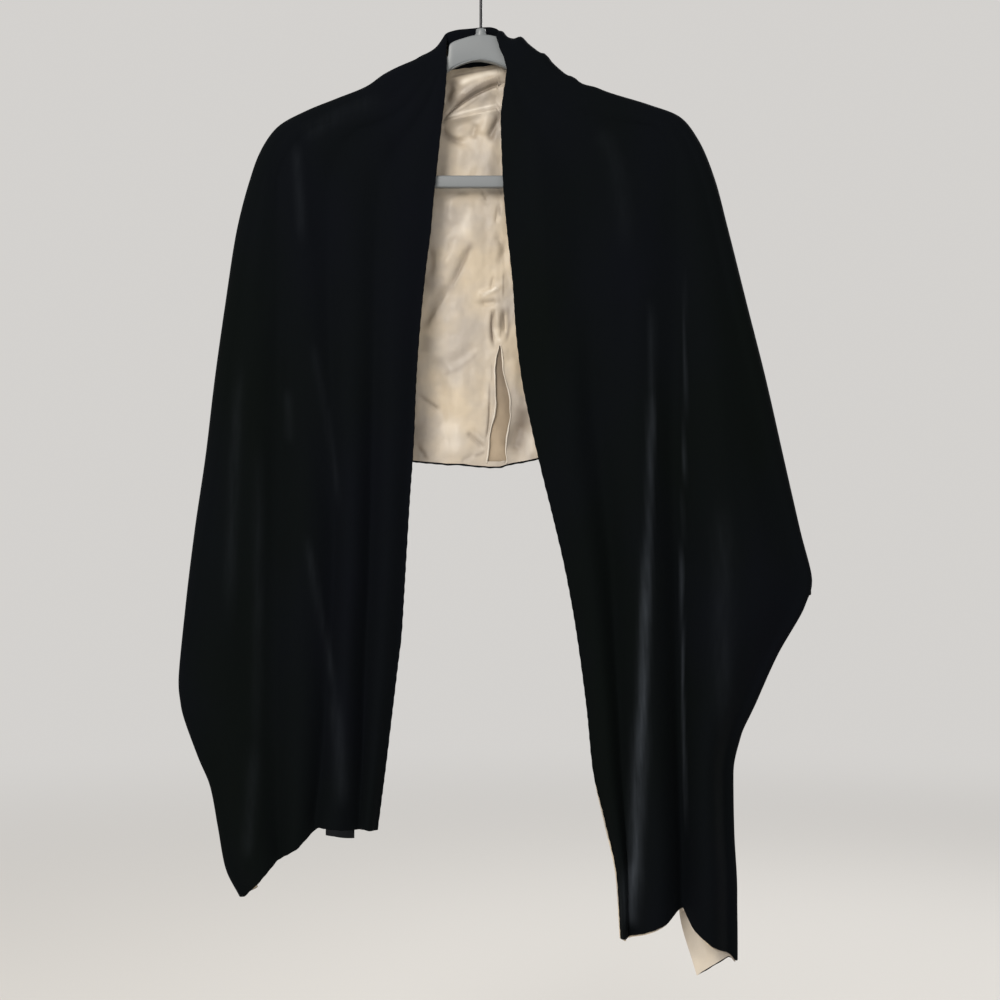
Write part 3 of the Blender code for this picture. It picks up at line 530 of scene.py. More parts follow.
def fall_surface(cut, to_end, sections, valleys, rolls, end_hem, tail_drop, v):
    """Points of a fall at its sections. to_end counts sections to the fall's end; v is 0 at the edge,
    1 at the rolls' end and 2 where the cloth passes to the back or ends."""
    count = len(rolls["tight"])
    run_x = cut["fold_x"] - cut["edge_x"]
    run_z = cut["fold_z"] - cut["edge_z"]
    chord = np.hypot(run_x, run_z)
    turn = np.minimum(cut["radius"], 0.85 * chord)
    front = np.clip(v, 0, 1)
    lines = roll_lines(cut, valleys, count)
    roll = np.clip(np.floor(front * count), 0, count - 1).astype(int)
    t = front * count - roll
    start = np.choose(roll, lines[:-1])
    finish = np.choose(roll, lines[1:])
    t = t + rolls["lean"][roll] * np.sin(math.pi * t) ** 2 * t * (1 - t)
    share = start + (finish - start) * (t - rolls["tight"][roll] * np.sin(2 * math.pi * t) / (2 * math.pi))
    height = cut["edge_z"] + share * run_z
    steps = np.array([-950, -650, -350, -120], float)
    depth = np.zeros_like(share)
    for k in range(count):
        sizes = (rolls["depth_low"][k], rolls["depth_mid"][k], rolls["depth_high"][k], 0)
        depth = np.where(roll == k, along(steps, sizes, height), depth)
    reach = share * (chord - turn)
    y = cut["mid_y"] - cut["radius"] - depth * (1 - np.cos(2 * math.pi * t)) / 2
    around = np.clip(v - 1, 0, 1)
    arc_length = cut["radius"] * np.radians(cut["curl"])
    arc_share = arc_length / (arc_length + cut["tail"])
    angle = np.radians(cut["curl"]) * np.clip(around / arc_share, 0, 1)
    behind = cut["tail"] * np.clip((around - arc_share) / np.maximum(1 - arc_share, 1e-6), 0, 1)
    reach = np.where(v > 1, chord - turn + turn * np.sin(angle) + behind * np.cos(angle), reach)
    y = np.where(v > 1, cut["mid_y"] - cut["radius"] * np.cos(angle) + behind * np.sin(angle), y)
    x = cut["edge_x"] + run_x * reach / chord
    z = cut["edge_z"] + run_z * reach / chord
    near_end = ease(1 - to_end / END_HEM_REACH)
    order = np.argsort(end_hem["x"])
    hem_z = np.interp(x, end_hem["x"][order], end_hem["z"][order])
    straight = sections["edge_z"][-1] + (x - sections["edge_x"][-1]) * (
        (sections["fold_z"][-1] - sections["edge_z"][-1])
        / (sections["fold_x"][-1] - sections["edge_x"][-1])
    )
    fade = np.where(v > 1, np.clip(1 - 3 * around, 0, 1), 1)
    z = z + near_end * fade * (hem_z - straight)
    z = z - tail_drop * behind / np.maximum(cut["tail"], 1) * ease(cut["tail"] / 30)
    free = ease(front * 14) * ease((1 - front) * 8) * ease((-105 - z) / 60) * (v <= 1)
    y = y - free * (fold_lift(x, z, FALL_FOLDS) + unevenness(x, z, 0.8))
    return np.stack([x, y, z], -1)


def left_fall(place, v):
    cut = section_at(place)
    return fall_surface(cut, place, LEFT_SECTIONS, LEFT_VALLEYS, LEFT_ROLLS, LEFT_END_HEM, 0, v)


def right_fall(place, v):
    cut = section_at(place)
    to_end = RIGHT_START + RIGHT_LAST - place
    return fall_surface(
        cut, to_end, RIGHT_SECTIONS, RIGHT_VALLEYS, RIGHT_ROLLS, RIGHT_END_HEM, RIGHT_TAIL_DROP, v
    )


def back_surface(place, w, satin=False):
    """Points of the back. w is 0 at the fold, 1 where it hangs free and 2 at the hem.
    The satin has its folds as seen; the velvet behind gives way to them."""
    cut = section_at(place)
    run_x = cut["hem_x"] - cut["fold_x"]
    run_z = cut["hem_z"] - cut["fold_z"]
    drop = np.hypot(run_x, run_z)
    turn = np.minimum(cut["radius"], 0.6 * drop)
    angle = np.clip(w, 0, 1) * math.pi / 2
    free = np.clip(w - 1, 0, 1)
    reach = turn * (1 - np.cos(angle)) + free * (drop - turn)
    x = cut["fold_x"] + run_x * reach / drop
    z = cut["fold_z"] + run_z * reach / drop
    y = cut["mid_y"] + cut["radius"] * np.sin(angle)
    y = y + free * (cut["hem_y"] - cut["mid_y"] - cut["radius"])
    lift = crease_height(x, z, BACK_CREASES) + unevenness(x, z, 0.7)
    if satin:
        lift = lift + fold_lift(x, z, SATIN_FOLDS)
    else:
        lift = lift + fold_lift(x, z, SATIN_FOLDS, 1.6, True)
    y = y - ease(free * 6) * lift
    return np.stack([x, y, z], -1)


def collar_surface(place, v):
    cut = section_at(place)
    run_x = cut["fold_x"] - cut["edge_x"]
    run_z = cut["fold_z"] - cut["edge_z"]
    chord = np.hypot(run_x, run_z)
    angle = np.clip(v - 1, 0, 1) * math.pi / 2
    reach = np.clip(v, 0, 1) * (chord - cut["radius"]) + cut["radius"] * np.sin(angle)
    x = cut["edge_x"] + run_x * reach / chord
    z = cut["edge_z"] + run_z * reach / chord
    y = cut["mid_y"] - cut["radius"] * np.cos(angle)
    return np.stack([x, y, z], -1)


def even_places(first, last, step):
    """Places from one section to another, about a step apart on the longer edge, on every section."""
    places = []
    for k in range(first, last):
        count = max(1, round(SECTION_GAPS[k] / step))
        places.extend(k + np.arange(count) / count)
    places.append(float(last))
    return np.array(places)


def facing(surface, place, v):
    """Points on a surface and the unit directions to its velvet side."""
    here = surface(place, v)
    small = 0.01
    along_place = surface(place + small, v) - surface(place - small, v)
    along_v = surface(place, v + small) - surface(place, v - small)
    normal = np.cross(along_place, along_v)
    return here, normal / np.maximum(np.linalg.norm(normal, axis=-1, keepdims=True), 1e-9)


def satin_back(place, w):
    return back_surface(place, w, True)


def cloth_sheet(step, neck_step, roll_steps, back_rows, satin=False):
    """Points, and directions to the velvet side, of both falls, the collar and the back."""
    left = np.concatenate(
        [even_places(0, LEFT_LAST - 3, step), even_places(LEFT_LAST - 3, LEFT_LAST, 2 * neck_step)[1:]]
    )
    collar = even_places(COLLAR_START, COLLAR_START + COLLAR_LAST, neck_step)
    neck = RIGHT_START + 3
    right = np.concatenate(
        [even_places(RIGHT_START, neck, neck_step), even_places(neck, RIGHT_START + RIGHT_LAST, step)[1:]]
    )
    gaps = (even_places(LEFT_LAST, COLLAR_START, 99), even_places(RIGHT_START - 1, RIGHT_START, 99))
    over_left = left[left >= LEFT_LAST - CORNER]
    over_right = right[right <= RIGHT_START + CORNER]
    back = np.unique(np.concatenate([over_left, gaps[0], collar, gaps[1], over_right]))
    fold = 1 + np.linspace(0, 1, 17)[1:]
    upper, lower = back_rows
    down = np.concatenate(
        [np.linspace(0, 1, 9), 1 + np.linspace(0, 0.25, upper)[1:], 1 + np.linspace(0.25, 1, lower)[1:]]
    )
    patches = []
    for surface, places, across in (
        (left_fall, left, np.concatenate([np.linspace(0, 1, 4 * roll_steps + 1), fold])),
        (right_fall, right, np.concatenate([np.linspace(0, 1, 3 * roll_steps + 1), fold])),
        (collar_surface, collar, np.concatenate([np.linspace(0, 1, 12), fold])),
        (back_surface, back, down),
    ):
        patches.append(facing(surface, *np.meshgrid(places, across, indexing="ij")))
    if satin:
        patches[-1] = (satin_back(*np.meshgrid(back, down, indexing="ij")), patches[-1][1])
    return patches


def ring_faces(rings, around, closed=False):
    """Quads between rings of points, and from the last ring to the first where closed."""
    faces = []
    for i in range(rings if closed else rings - 1):
        here = i * around
        there = (i + 1) % rings * around
        for k in range(around):
            after = (k + 1) % around
            faces.append((here + k, here + after, there + after, there + k))
    return faces


def grid_faces(rows, columns, start=0):
    """Quads of a grid of points, row by row."""
    i, j = np.meshgrid(np.arange(rows - 1), np.arange(columns - 1), indexing="ij")
    a = (start + i * columns + j).ravel()
    return np.stack([a, a + columns, a + columns + 1, a + 1], -1)


def merged(patches):
    """The patches as one sheet: points that meet become one point."""
    points = []
    normals = []
    faces = []
    for grid, facing_out in patches:
        faces.append(grid_faces(*grid.shape[:2], sum(len(block) for block in points)))
        points.append(grid.reshape(-1, 3))
        normals.append(facing_out.reshape(-1, 3))
    points = np.concatenate(points)
    normals = np.concatenate(normals)
    cells = np.floor(points / 0.03 + 0.3179)
    _, first, index = np.unique(cells, axis=0, return_index=True, return_inverse=True)
    index = index.reshape(-1)
    summed = np.zeros((len(first), 3))
    np.add.at(summed, index, normals)
    summed /= np.maximum(np.linalg.norm(summed, axis=1, keepdims=True), 1e-9)
    joined = []
    for face in index[np.concatenate(faces)].tolist():
        corners = [a for a, b in zip(face, face[-1:] + face[:-1]) if a != b]
        if len(corners) > 2:
            joined.append(tuple(corners))
    return points[first], summed, joined


def rims(faces):
    """Each open edge of a sheet as a loop of points, in the order of its faces."""
    ends = {(a, b) for face in faces for a, b in zip(face, face[1:] + face[:1])}
    after = {a: b for a, b in ends if (b, a) not in ends}
    loops = []
    while after:
        start, here = after.popitem()
        loop = [start]
        while here != start and here in after:
            loop.append(here)
            here = after.pop(here)
        loops.append(loop)
    return loops


def outward_of(rim, normals):
    """Unit directions along the cloth, away from it, at each point of a rim."""
    forward = np.roll(rim, -1, 0) - np.roll(rim, 1, 0)
    for _ in range(2):
        forward = (np.roll(forward, 1, 0) + 2 * forward + np.roll(forward, -1, 0)) / 4
    outward = np.cross(forward, normals)
    return outward / np.maximum(np.linalg.norm(outward, axis=1, keepdims=True), 1e-9)


# Meshes and materials


def placed(name, data):
    """A new object in the scene."""
    made = bpy.data.objects.new(name, data)
    bpy.context.scene.collection.objects.link(made)
    return made


def add_mesh(name, points, faces, looks, smooth=True):
    mesh = bpy.data.meshes.new(name)
    mesh.from_pydata((np.asarray(points, float) / 1000).tolist(), [], [tuple(f) for f in faces])
    mesh.validate()
    made = placed(name, mesh)
    made.data.materials.append(looks)
    if smooth:
        mesh.shade_smooth()
    return made


def add_values(made, name, values):
    """One number for each point of an object, for its material to read."""
    numbers = made.data.attributes.new(name, "FLOAT", "POINT").data
    numbers.foreach_set("value", np.asarray(values, np.float32))


def put(node, **values):
    """Numbers and colours on a node's own sockets, by their names with _ for each space."""
    for name, value in values.items():
        node.inputs[name.replace("_", " ")].default_value = value


def new_material(name):
    made = bpy.data.materials.new(name)
    made.use_nodes = True
    return made, made.node_tree, made.node_tree.nodes["Principled BSDF"]


def noise(tree, scale, detail=3.0, rough=0.5, stretch=(1, 1, 1)):
    place = tree.nodes.new("ShaderNodeTexCoord")
    mapping = tree.nodes.new("ShaderNodeMapping")
    put(mapping, Scale=stretch)
    tree.links.new(place.outputs["Object"], mapping.inputs["Vector"])
    made = tree.nodes.new("ShaderNodeTexNoise")
    put(made, Scale=scale, Detail=detail, Roughness=rough)
    tree.links.new(mapping.outputs["Vector"], made.inputs["Vector"])
    return made.outputs["Fac"]


def ramp(tree, value, stops):
    made = tree.nodes.new("ShaderNodeValToRGB")
    while len(made.color_ramp.elements) < len(stops):
        made.color_ramp.elements.new(0.5)
    for element, (place, colour) in zip(made.color_ramp.elements, stops):
        element.position = place
        element.color = (*colour, 1)
    tree.links.new(value, made.inputs["Fac"])
    return made.outputs["Color"]


def bump(tree, shader, heights):
    """Stacked bumps, each by its height field, strength and distance."""
    normal = None
    for height, strength, distance in heights:
        made = tree.nodes.new("ShaderNodeBump")
        put(made, Strength=strength, Distance=distance)
        tree.links.new(height, made.inputs["Height"])
        if normal is not None:
            tree.links.new(normal, made.inputs["Normal"])
        normal = made.outputs["Normal"]
    tree.links.new(normal, shader.inputs["Normal"])


def mixed_in(tree, colour, attribute, other, broken_by=None):
    """The colour mixed with another one by a point attribute, broken up where a noise is given."""
    marks = tree.nodes.new("ShaderNodeAttribute")
    marks.attribute_name = attribute
    amount = marks.outputs["Fac"]
    if broken_by is not None:
        broken = tree.nodes.new("ShaderNodeMath")
        broken.operation = "MULTIPLY"
        tree.links.new(amount, broken.inputs[0])
        tree.links.new(broken_by, broken.inputs[1])
        amount = broken.outputs["Value"]
    mixed = tree.nodes.new("ShaderNodeMix")
    mixed.data_type = "RGBA"
    tree.links.new(amount, mixed.inputs["Factor"])
    tree.links.new(colour, mixed.inputs["A"])
    mixed.inputs["B"].default_value = (*other, 1)
    return mixed.outputs["Result"]


def velvet_material():
    made, tree, shader = new_material("velvet_pile")
    nap_and_sheen = noise(tree, 5, 3, 0.5, (1, 1, 0.5))
    tint = ramp(tree, nap_and_sheen, ((0.35, (0.0022, 0.0032, 0.0030)), (0.65, (0.0026, 0.0032, 0.0048))))
    streaks = noise(tree, 160, 3, 0.6, (1, 1, 0.12))
    # The nap_and_sheen marks lighten the colour towards a pale bluish grey: painted sheen, partly pile
    # lying the other way.
    tint = mixed_in(tree, tint, "nap_and_sheen", (0.052, 0.060, 0.072), streaks)
    tree.links.new(tint, shader.inputs["Base Color"])
    put(shader, Roughness=0.9, Specular_IOR_Level=0.03)
    put(shader, Sheen_Weight=0.024, Sheen_Roughness=0.30, Sheen_Tint=(0.62, 0.72, 0.80, 1))
    pile = noise(tree, 2600, 2, 0.6)
    crush = noise(tree, 38, 3, 0.5, (1, 1, 0.4))
    bump(tree, shader, ((crush, 0.10, 0.004), (pile, 0.35, 0.0006)))
    return made


def satin_material(name, dark, light, rough, painted_shade_colour=(0.15, 0.118, 0.09), painted_highlight_colour=(0.80, 0.74, 0.65)):
    made, tree, shader = new_material(name)
    shade = noise(tree, 17, 3, 0.55)
    tint = ramp(tree, shade, ((0.36, dark), (0.62, light)))
    # The lining's point values mix painted shade and painted highlights into the satin's colour.
    tint = mixed_in(tree, tint, "shade", painted_shade_colour)
    tint = mixed_in(tree, tint, "painted_highlight", painted_highlight_colour)
    tree.links.new(tint, shader.inputs["Base Color"])
    put(shader, Roughness=rough, Specular_IOR_Level=0.35, Sheen_Weight=0.10)
    threads = noise(tree, 1500, 1, 0.5, (0.12, 1, 1))
    rumple = noise(tree, 34, 2, 0.45, (1, 1, 0.75))
    slub = noise(tree, 90, 3, 0.55)
    bump(tree, shader, ((rumple, 0.55, 0.012), (slub, 0.12, 0.003), (threads, 0.16, 0.0004)))
    return made


def plain_material(name, colour, rough, metal=0.0, specular=0.5, grain=None):
    made, tree, shader = new_material(name)
    put(shader, Base_Color=(*colour, 1), Roughness=rough, Specular_IOR_Level=specular, Metallic=metal)
    if grain:
        scale, strength, distance = grain
        bump(tree, shader, ((noise(tree, scale), strength, distance),))
    return made


VELVET = velvet_material()
SATIN = satin_material("satin_champagne", (0.375, 0.330, 0.282), (0.505, 0.425, 0.320), 0.47)
# The cloth seen through the slit is the lining's satin, its colours darkened as painted shade.
BACKING_PAINTED_SHADE = satin_material("inner_cloth_painted_shade", (0.30, 0.235, 0.165), (0.42, 0.335, 0.24), 0.8)
PLASTIC = plain_material("grey_plastic", (0.150, 0.162, 0.170), 0.42, grain=(900, 0.06, 0.0004))
WIRE = plain_material("black_wire", (0.02, 0.02, 0.022), 0.35, 0.7)
TAPE = plain_material("label_tape", (0.006, 0.0065, 0.008), 0.85, specular=0.10, grain=(1400, 0.25, 0.0004))


# Velvet


def turned_edge(points, normals, faces):
    """The velvet carried round each open edge and a little way onto the lining side."""
    all_points = [points + PILE_FACE * normals]
    all_faces = list(faces)
    centre = PILE_FACE - EDGE_ROUND
    for loop in rims(faces):
        at = points[loop]
        out_of = normals[loop]
        outward = outward_of(at, out_of)
        length = np.cumsum(np.linalg.norm(np.roll(at, -1, 0) - at, axis=1))
        pucker = 0.22 * np.sin(length / 2.1 + 1.5 * np.sin(length / 17))
        before = np.array(loop)
        for degrees in (30, 60, 90, 120, 150, 170, 180):
            angle = math.radians(degrees)
            turned = EDGE_TURNED if degrees == 180 else 0.0
            ring = (
                at
                + (EDGE_ROUND * math.sin(angle) - turned) * outward
                + (centre + EDGE_DEEP * (math.cos(angle) - 1) / 2 + EDGE_ROUND) * out_of
                + (pucker * math.sin(angle))[:, None] * outward
            )
            start = sum(len(block) for block in all_points)
            here = start + np.arange(len(loop))
            all_points.append(ring)
            quads = np.stack([before, here, np.roll(here, -1), np.roll(before, -1)], -1)
            all_faces.extend(map(tuple, quads.tolist()))
            before = here
    return np.concatenate(all_points), all_faces


def make_velvet():
    sizes = ((4.5, 2.4, 22, (34, 66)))
    points, normals, faces = merged(cloth_sheet(*sizes))
    shell_points, shell_faces = turned_edge(points, normals, faces)
    made = add_mesh("velvet_stole", shell_points, shell_faces, VELVET)
    # Marks painted into the velvet's colour, front and back: painted sheen and pile lying the other way.
    front, back = (fold_lift(points[:, 0], points[:, 2], marks) for marks in (NAP_AND_SHEEN_MARKS, BACK_NAP_AND_SHEEN_MARKS))
    marks = np.where(normals[:, 1] < 0, front, back)
    add_values(made, "nap_and_sheen", np.concatenate([marks, np.zeros(len(shell_points) - len(points))]))
    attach(made, "root")
    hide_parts("velvet_back", "velvet_left", "velvet_right", "velvet_collar")
    return made


# Satin lining


def slit_side(z, side):
    return along(SLIT["z"][::-1], SLIT[side][::-1], z)


def make_lining():
    sizes = ((9, 1.1, 12, (90, 170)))
    points, normals, faces = merged(cloth_sheet(*sizes, satin=True))
    for loop in rims(faces):
        rim = points[loop]
        reach = LINING_REACH + LINING_SHOWS * ease((-850 - rim[:, 2]) / 60) * (rim[:, 0] > 0)
        turned_corner = (rim[:, 0] > 233) & (rim[:, 1] > -4) & (rim[:, 2] < -1045)
        reach = np.where(turned_corner, CORNER_REACH, reach)
        back_hem = (rim[:, 1] > 6) & (rim[:, 2] < -500)
        reach = np.where(back_hem, BACK_HEM_REACH, reach)
        points[loop] = rim + reach[:, None] * outward_of(rim, normals[loop])
    in_back = points[:, 1] > 10
    left = slit_side(points[:, 2], "left")
    right = slit_side(points[:, 2], "right")
    tall = (points[:, 2] < SLIT["z"].max()) & (points[:, 2] > SLIT["z"].min())
    inside = in_back & tall & (points[:, 0] > left) & (points[:, 0] < right)
    whole = [face for face in faces if not all(inside[list(face)])]
    edge_points = np.array(sorted({k for face in whole for k in face if inside[k]}))
    nearer_left = points[edge_points, 0] - left[edge_points] < right[edge_points] - points[edge_points, 0]
    points[edge_points, 0] = np.where(nearer_left, left[edge_points], right[edge_points])
    kept = []
    for face in whole:
        x, y, z = points[list(face)].mean(axis=0)
        in_slit = y > 10 and SLIT["z"].min() < z < SLIT["z"].max()
        if not (in_slit and slit_side(z, "left") + 0.05 < x < slit_side(z, "right") - 0.05):
            kept.append(face)
    made = add_mesh("satin_lining", points + LINING_FACE * normals, [face[::-1] for face in kept], SATIN)
    # Painted shade and painted highlights in the satin's colour where the back shows between the falls, and
    # a painted highlight on the turned corner of the right fall's end.
    seen = in_back & (points[:, 2] > -545)
    shade = fold_lift(points[:, 0], points[:, 2], PAINTED_SATIN_SHADES)
    painted_highlight = fold_lift(points[:, 0], points[:, 2], PAINTED_SATIN_HIGHLIGHTS)
    painted_highlight_corner = (points[:, 0] > 205) & (points[:, 2] < -950) & (points[:, 1] > -4)
    add_values(made, "shade", 0.85 * np.clip(shade, 0, 1) * seen)
    add_values(made, "painted_highlight", np.clip(0.8 * painted_highlight * seen + 0.35 * painted_highlight_corner, 0, 0.8))
    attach(made, "root")
    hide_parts("lining_back", "lining_left", "lining_right", "lining_collar")
    return made


def back_at(x, z, lift):
    """A point on the middle of the back, found by its x and z, lifted towards the front."""
    u = np.full_like(x, COLLAR_START + 2.0)
    w = np.full_like(x, 1.5)
    for _ in range(12):
        here = satin_back(u, w)
        du = (satin_back(u + 0.01, w) - here) / 0.01
        dw = (satin_back(u, w + 0.01) - here) / 0.01
        miss_x = x - here[:, 0]
        miss_z = z - here[:, 2]
        area = du[:, 0] * dw[:, 2] - du[:, 2] * dw[:, 0]
        area = np.where(np.abs(area) < 1e-6, 1e-6, area)
        u = u + 0.9 * (miss_x * dw[:, 2] - miss_z * dw[:, 0]) / area
        w = np.clip(w + 0.9 * (miss_z * du[:, 0] - miss_x * du[:, 2]) / area, 1.0, 2.0)
    here = satin_back(u, w)
    here[:, 1] -= lift
    return here


def tube(name, line, radius, looks, around=10):
    """A tube along a line of points in millimetres, with a radius for each point."""
    line = np.asarray(line, float)
    radius = np.broadcast_to(radius, len(line))
    ahead = np.gradient(line, axis=0)
    ahead /= np.linalg.norm(ahead, axis=1, keepdims=True)
    side = np.cross(ahead, (0.0, 1.0, 0.0))
    side /= np.maximum(np.linalg.norm(side, axis=1, keepdims=True), 1e-9)
    up = np.cross(side, ahead)
    angles = 2 * math.pi * np.arange(around) / around
    rings = (
        line[:, None]
        + radius[:, None, None] * np.cos(angles)[None, :, None] * side[:, None]
        + radius[:, None, None] * np.sin(angles)[None, :, None] * up[:, None]
    )
    faces = ring_faces(len(line), around)
    faces.append(tuple(range(around))[::-1])
    faces.append(tuple((len(line) - 1) * around + k for k in range(around)))
    return add_mesh(name, rings.reshape(-1, 3), faces, looks)


def make_slit():
    """The two rolled edges of the slit and the cloth seen through it."""
    z = np.linspace(SLIT["z"].max(), SLIT["z"].min() - 3, 60)
    pieces = []
    for side, sign in (("left", -1), ("right", 1)):
        x = slit_side(z, side) + sign * 0.35
        wave = 0.35 * np.sin(z / 6.1 + sign) + 0.12 * np.sin(z / 2.3)
        line = back_at(x + wave, z, -LINING_FACE + 0.35)
        radius = 0.8 + 0.22 * np.sin(z / 6.7 + 2 * sign)
        radius[:6] *= np.linspace(0.45, 1, 6)
        lip = tube("slit_edge_" + side, line, radius, SATIN)
        # A painted highlight along each lip.
        add_values(lip, "painted_highlight", np.full(len(lip.data.vertices), 0.4))
        pieces.append(lip)
    rows = np.linspace(SLIT["z"].max() + 3, SLIT["z"].min() - 3, 50)
    across = np.linspace(-0.1, 1.1, 16)
    high, wide = np.meshgrid(rows, across, indexing="ij")
    start = slit_side(high, "left") - 1.5
    finish = slit_side(high, "right") + 1.5
    points = back_at((start + (finish - start) * wide).ravel(), high.ravel(), 0)
    points[:, 1] += 0.75 + 0.35 * np.sin(wide.ravel() * 7 + high.ravel() / 40)
    quads = grid_faces(len(rows), len(across))[:, [0, 3, 2, 1]]
    backing = add_mesh("slit_backing", points, quads, BACKING_PAINTED_SHADE)
    # Painted shade inside the slit, darker towards the top.
    add_values(backing, "shade", 0.75 * ease((points[:, 2] + 500) / 75))
    for piece in (*pieces, backing):
        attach(piece, "root")
    return pieces


# Hanger, hook and label


def make_moulding():
    cut = HANGER_SECTIONS
    keys = np.arange(len(cut["outer_x"]))
    fine = np.linspace(0, len(keys) - 1, (len(keys) - 1) * 6 + 1)
    half = np.array([along(keys, cut[name], fine) for name in cut]).T
    mirrored = half[-2:0:-1].copy()
    mirrored[:, [0, 2]] *= -1
    mirrored[:, [1, 3]] += mirrored[:, [5, 6]]
    rows = np.concatenate([half, mirrored])
    count = len(rows)
    zero = np.zeros(count)
    outer = np.stack([rows[:, 0] + HANGER_MIDDLE, zero, rows[:, 1]], -1)
    inner = np.stack([rows[:, 2] + HANGER_MIDDLE, zero, rows[:, 3]], -1)
    middle = (outer + inner) / 2
    reach = (outer - inner) / 2
    length = np.linalg.norm(reach, axis=1)
    unit = reach / length[:, None]
    rings = []
    for turn, (side_sign, deep_sign) in enumerate(((1, 1), (-1, 1), (-1, -1), (1, -1))):
        for step in range(5):
            angle = math.pi / 2 * turn + math.pi / 8 * step
            across = side_sign * (length - HANGER_ROUND) + HANGER_ROUND * math.cos(angle)
            depth = deep_sign * (rows[:, 4] - HANGER_ROUND) + HANGER_ROUND * math.sin(angle)
            rings.append(middle + across[:, None] * unit + np.stack([zero, depth, zero], -1))
    points = np.stack(rings, 1).reshape(-1, 3)
    return add_mesh("hanger_moulding", points, ring_faces(count, len(rings), True), PLASTIC)


def make_knob():
    """The round neck of the cap, with the wire's hole in its top."""
    profile = [
        (KNOB_RADIUS + 3.0, -84.6), (KNOB_RADIUS + 1.0, -83.4), (KNOB_RADIUS, -82.0),
        (KNOB_RADIUS, KNOB_TOP - 1.6), (KNOB_RADIUS - 0.5, KNOB_TOP - 0.5),
        (KNOB_RADIUS - 1.6, KNOB_TOP), (HOOK_WIRE + 0.5, KNOB_TOP), (HOOK_WIRE + 0.2, KNOB_TOP - 0.5),
        (HOOK_WIRE + 0.2, -86.0),
    ]
    around = 32
    points = []
    for radius, z in profile:
        for k in range(around):
            angle = 2 * math.pi * k / around
            deep = min(radius, KNOB_RADIUS)
            points.append((HANGER_MIDDLE + radius * math.cos(angle), deep * math.sin(angle), z))
    return add_mesh("hanger_knob", points, ring_faces(len(profile), around), PLASTIC)


def make_rim():
    """The raised bead along the cap's lower edge."""
    xs = np.linspace(-RIM_HALF, RIM_HALF, 60)
    lip_z = along(HANGER_SECTIONS["inner_x"][:7], HANGER_SECTIONS["inner_z"][:7], np.abs(xs)) + RIM_RISE
    lip = np.stack([xs + HANGER_MIDDLE, np.full(60, -RIM_FRONT), lip_z], -1)
    return tube("hanger_rim", lip, RIM_WIRE * (1 - 0.5 * (np.abs(xs) / RIM_HALF) ** 6), PLASTIC)


def make_hanger():
    body = make_moulding()
    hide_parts("hanger_body")
    for piece in (body, make_knob(), make_rim()):
        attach(piece, "root")


def make_hook():
    radius = HOOK_INSIDE + HOOK_WIRE
    line = []
    for degrees in np.linspace(HOOK_TIP_DEGREES, HOOK_NECK_DEGREES, 90):
        angle = math.radians(degrees)
        line.append((radius * math.cos(angle), 0.0, -HOOK_INSIDE + radius * math.sin(angle)))
    neck = math.radians(-HOOK_NECK_DEGREES)
    start_x, _, start_z = line[-1]
    bend = (start_x - HANGER_MIDDLE) / (1 - math.cos(neck))
    for share in np.linspace(0.06, 1, 16):
        angle = neck * (1 - share)
        drop = bend * (math.sin(neck) - math.sin(angle))
        line.append((HANGER_MIDDLE + bend * (1 - math.cos(angle)), 0.0, start_z - drop))
    foot = line[-1][2]
    for share in np.linspace(0.1, 1, 10):
        line.append((HANGER_MIDDLE, 0.0, foot + share * (SHANK_FOOT - foot)))
    size = np.full(len(line), HOOK_WIRE)
    size[:3] *= (0.55, 0.85, 0.97)
    wire = tube("hook_wire", line, size, WIRE, 18)
    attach(wire, "root")
    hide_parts("hanger_hook")


def make_label():
    """A blank tab of woven tape caught in the end hem."""
    hem = left_fall(np.zeros(400), np.linspace(0, 1, 400))
    order = np.argsort(hem[:, 0])
    count = 25
    xs = np.linspace(LABEL_LEFT, LABEL_RIGHT, count)
    ys = np.polyval(np.polyfit(xs, np.interp(xs, hem[order, 0], hem[order, 1]), 2), xs)
    zs = np.interp(xs, hem[order, 0], hem[order, 2])
    lean = np.linspace(-LABEL_LEAN, LABEL_LEAN, count)
    slope = np.gradient(ys, xs)
    out = np.stack([slope, -np.ones(count), np.zeros(count)], -1)
    out /= np.linalg.norm(out, axis=1, keepdims=True)
    rows = []
    shares = (-0.25, 0, 0.25, 0.5, 0.75, 0.97, 1.0)
    for side, run in ((1, shares), (-1, shares[::-1])):
        for share in run:
            bow = 0.5 * math.sin(math.pi * share)
            base = np.stack([xs, ys - bow, zs - 0.3 - share * (LABEL_DROP + lean)], -1)
            squeeze = 0.4 if share == 1.0 else 1.0
            rows.append(base + side * LABEL_HALF_THICK * squeeze * out)
    grid = np.array(rows)
    total = len(grid)
    faces = []
    for i in range(total):
        for j in range(count - 1):
            nxt = (i + 1) % total
            faces.append((i * count + j, i * count + j + 1, nxt * count + j + 1, nxt * count + j))
    faces.append(tuple(i * count for i in range(total)))
    faces.append(tuple(i * count + count - 1 for i in range(total))[::-1])
    tab = add_mesh("label_tab", grid.reshape(-1, 3), faces, TAPE, smooth=False)
    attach(tab, "root")
    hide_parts("label")


# Floor, light and camera

ROOM_COLOUR = (0.82, 0.80, 0.775)
ROOM_LIGHT = 0.80
FLOOR_HEIGHT = -1400
FLOOR_HALF = 60000
CAMERA_DISTANCE = 2.0
VIEW_WIDTH = 1.06
SENSOR_WIDTH = 36.0


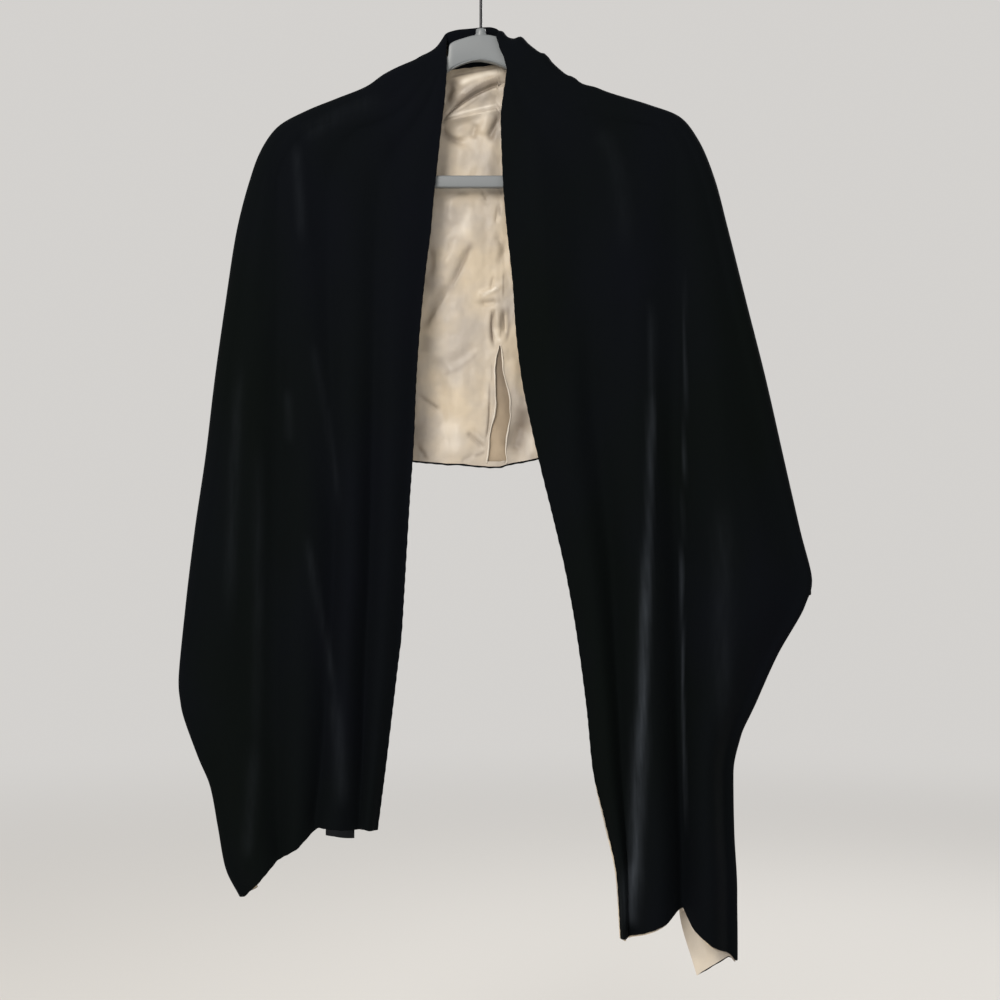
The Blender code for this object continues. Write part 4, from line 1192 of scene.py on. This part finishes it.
def floor_material():
    """A pale floor that fades into the light of the room with distance."""
    made, tree, shader = new_material("pale_floor")
    put(shader, Base_Color=(0.66, 0.645, 0.62, 1), Roughness=1.0, Specular_IOR_Level=0.0)
    place = tree.nodes.new("ShaderNodeTexCoord")
    away = tree.nodes.new("ShaderNodeVectorMath")
    away.operation = "LENGTH"
    tree.links.new(place.outputs["Object"], away.inputs[0])
    fade = tree.nodes.new("ShaderNodeMapRange")
    fade.interpolation_type = "SMOOTHSTEP"
    put(fade, From_Min=1.4, From_Max=4.6)
    tree.links.new(away.outputs["Value"], fade.inputs["Value"])
    glow = tree.nodes.new("ShaderNodeEmission")
    put(glow, Color=(*ROOM_COLOUR, 1), Strength=ROOM_LIGHT)
    blend = tree.nodes.new("ShaderNodeMixShader")
    tree.links.new(fade.outputs["Result"], blend.inputs["Fac"])
    tree.links.new(shader.outputs["BSDF"], blend.inputs[1])
    tree.links.new(glow.outputs["Emission"], blend.inputs[2])
    output = next(node for node in tree.nodes if node.type == "OUTPUT_MATERIAL")
    tree.links.new(blend.outputs["Shader"], output.inputs["Surface"])
    return made


def area_light(name, place, aim, size, power, colour=(1, 1, 1)):
    data = bpy.data.lights.new(name, "AREA")
    data.shape = "DISK"
    data.size = size
    data.energy = power
    data.color = colour
    lamp = placed(name, data)
    lamp.location = place
    lamp.rotation_euler = (Vector(aim) - Vector(place)).to_track_quat("-Z", "Y").to_euler()


def make_stage():
    signs = ((-1, -1), (1, -1), (1, 1), (-1, 1))
    corners = [(x * FLOOR_HALF, y * FLOOR_HALF, FLOOR_HEIGHT) for x, y in signs]
    floor = add_mesh("floor", corners, [(0, 1, 2, 3)], floor_material(), smooth=False)
    world = bpy.data.worlds.new("pale_room")
    world.use_nodes = True
    put(world.node_tree.nodes["Background"], Color=(*ROOM_COLOUR, 1), Strength=ROOM_LIGHT)
    bpy.context.scene.world = world
    bpy.context.scene.view_settings.view_transform = "Standard"
    area_light("key", (-1.15, -2.2, 0.60), (0, 0, -0.45), 1.25, 64, (1.0, 0.965, 0.91))
    area_light("fill", (1.9, -1.6, -0.2), (0.1, 0, -0.6), 1.4, 6)
    area_light("back", (1.3, 2.0, 0.7), (0, 0, -0.5), 1.3, 34)


def make_camera():
    data = bpy.data.cameras.new("camera")
    data.sensor_width = SENSOR_WIDTH
    data.lens = SENSOR_WIDTH * CAMERA_DISTANCE / VIEW_WIDTH
    camera = placed("camera", data)
    camera.location = (0.0212, -CAMERA_DISTANCE, -0.5762)
    camera.rotation_euler = (math.pi / 2, 0, 0)
    bpy.context.scene.camera = camera


velvet = make_velvet()
lining = make_lining()
slit_edges = make_slit()
make_hanger()
make_hook()
make_label()
make_stage()
make_camera()
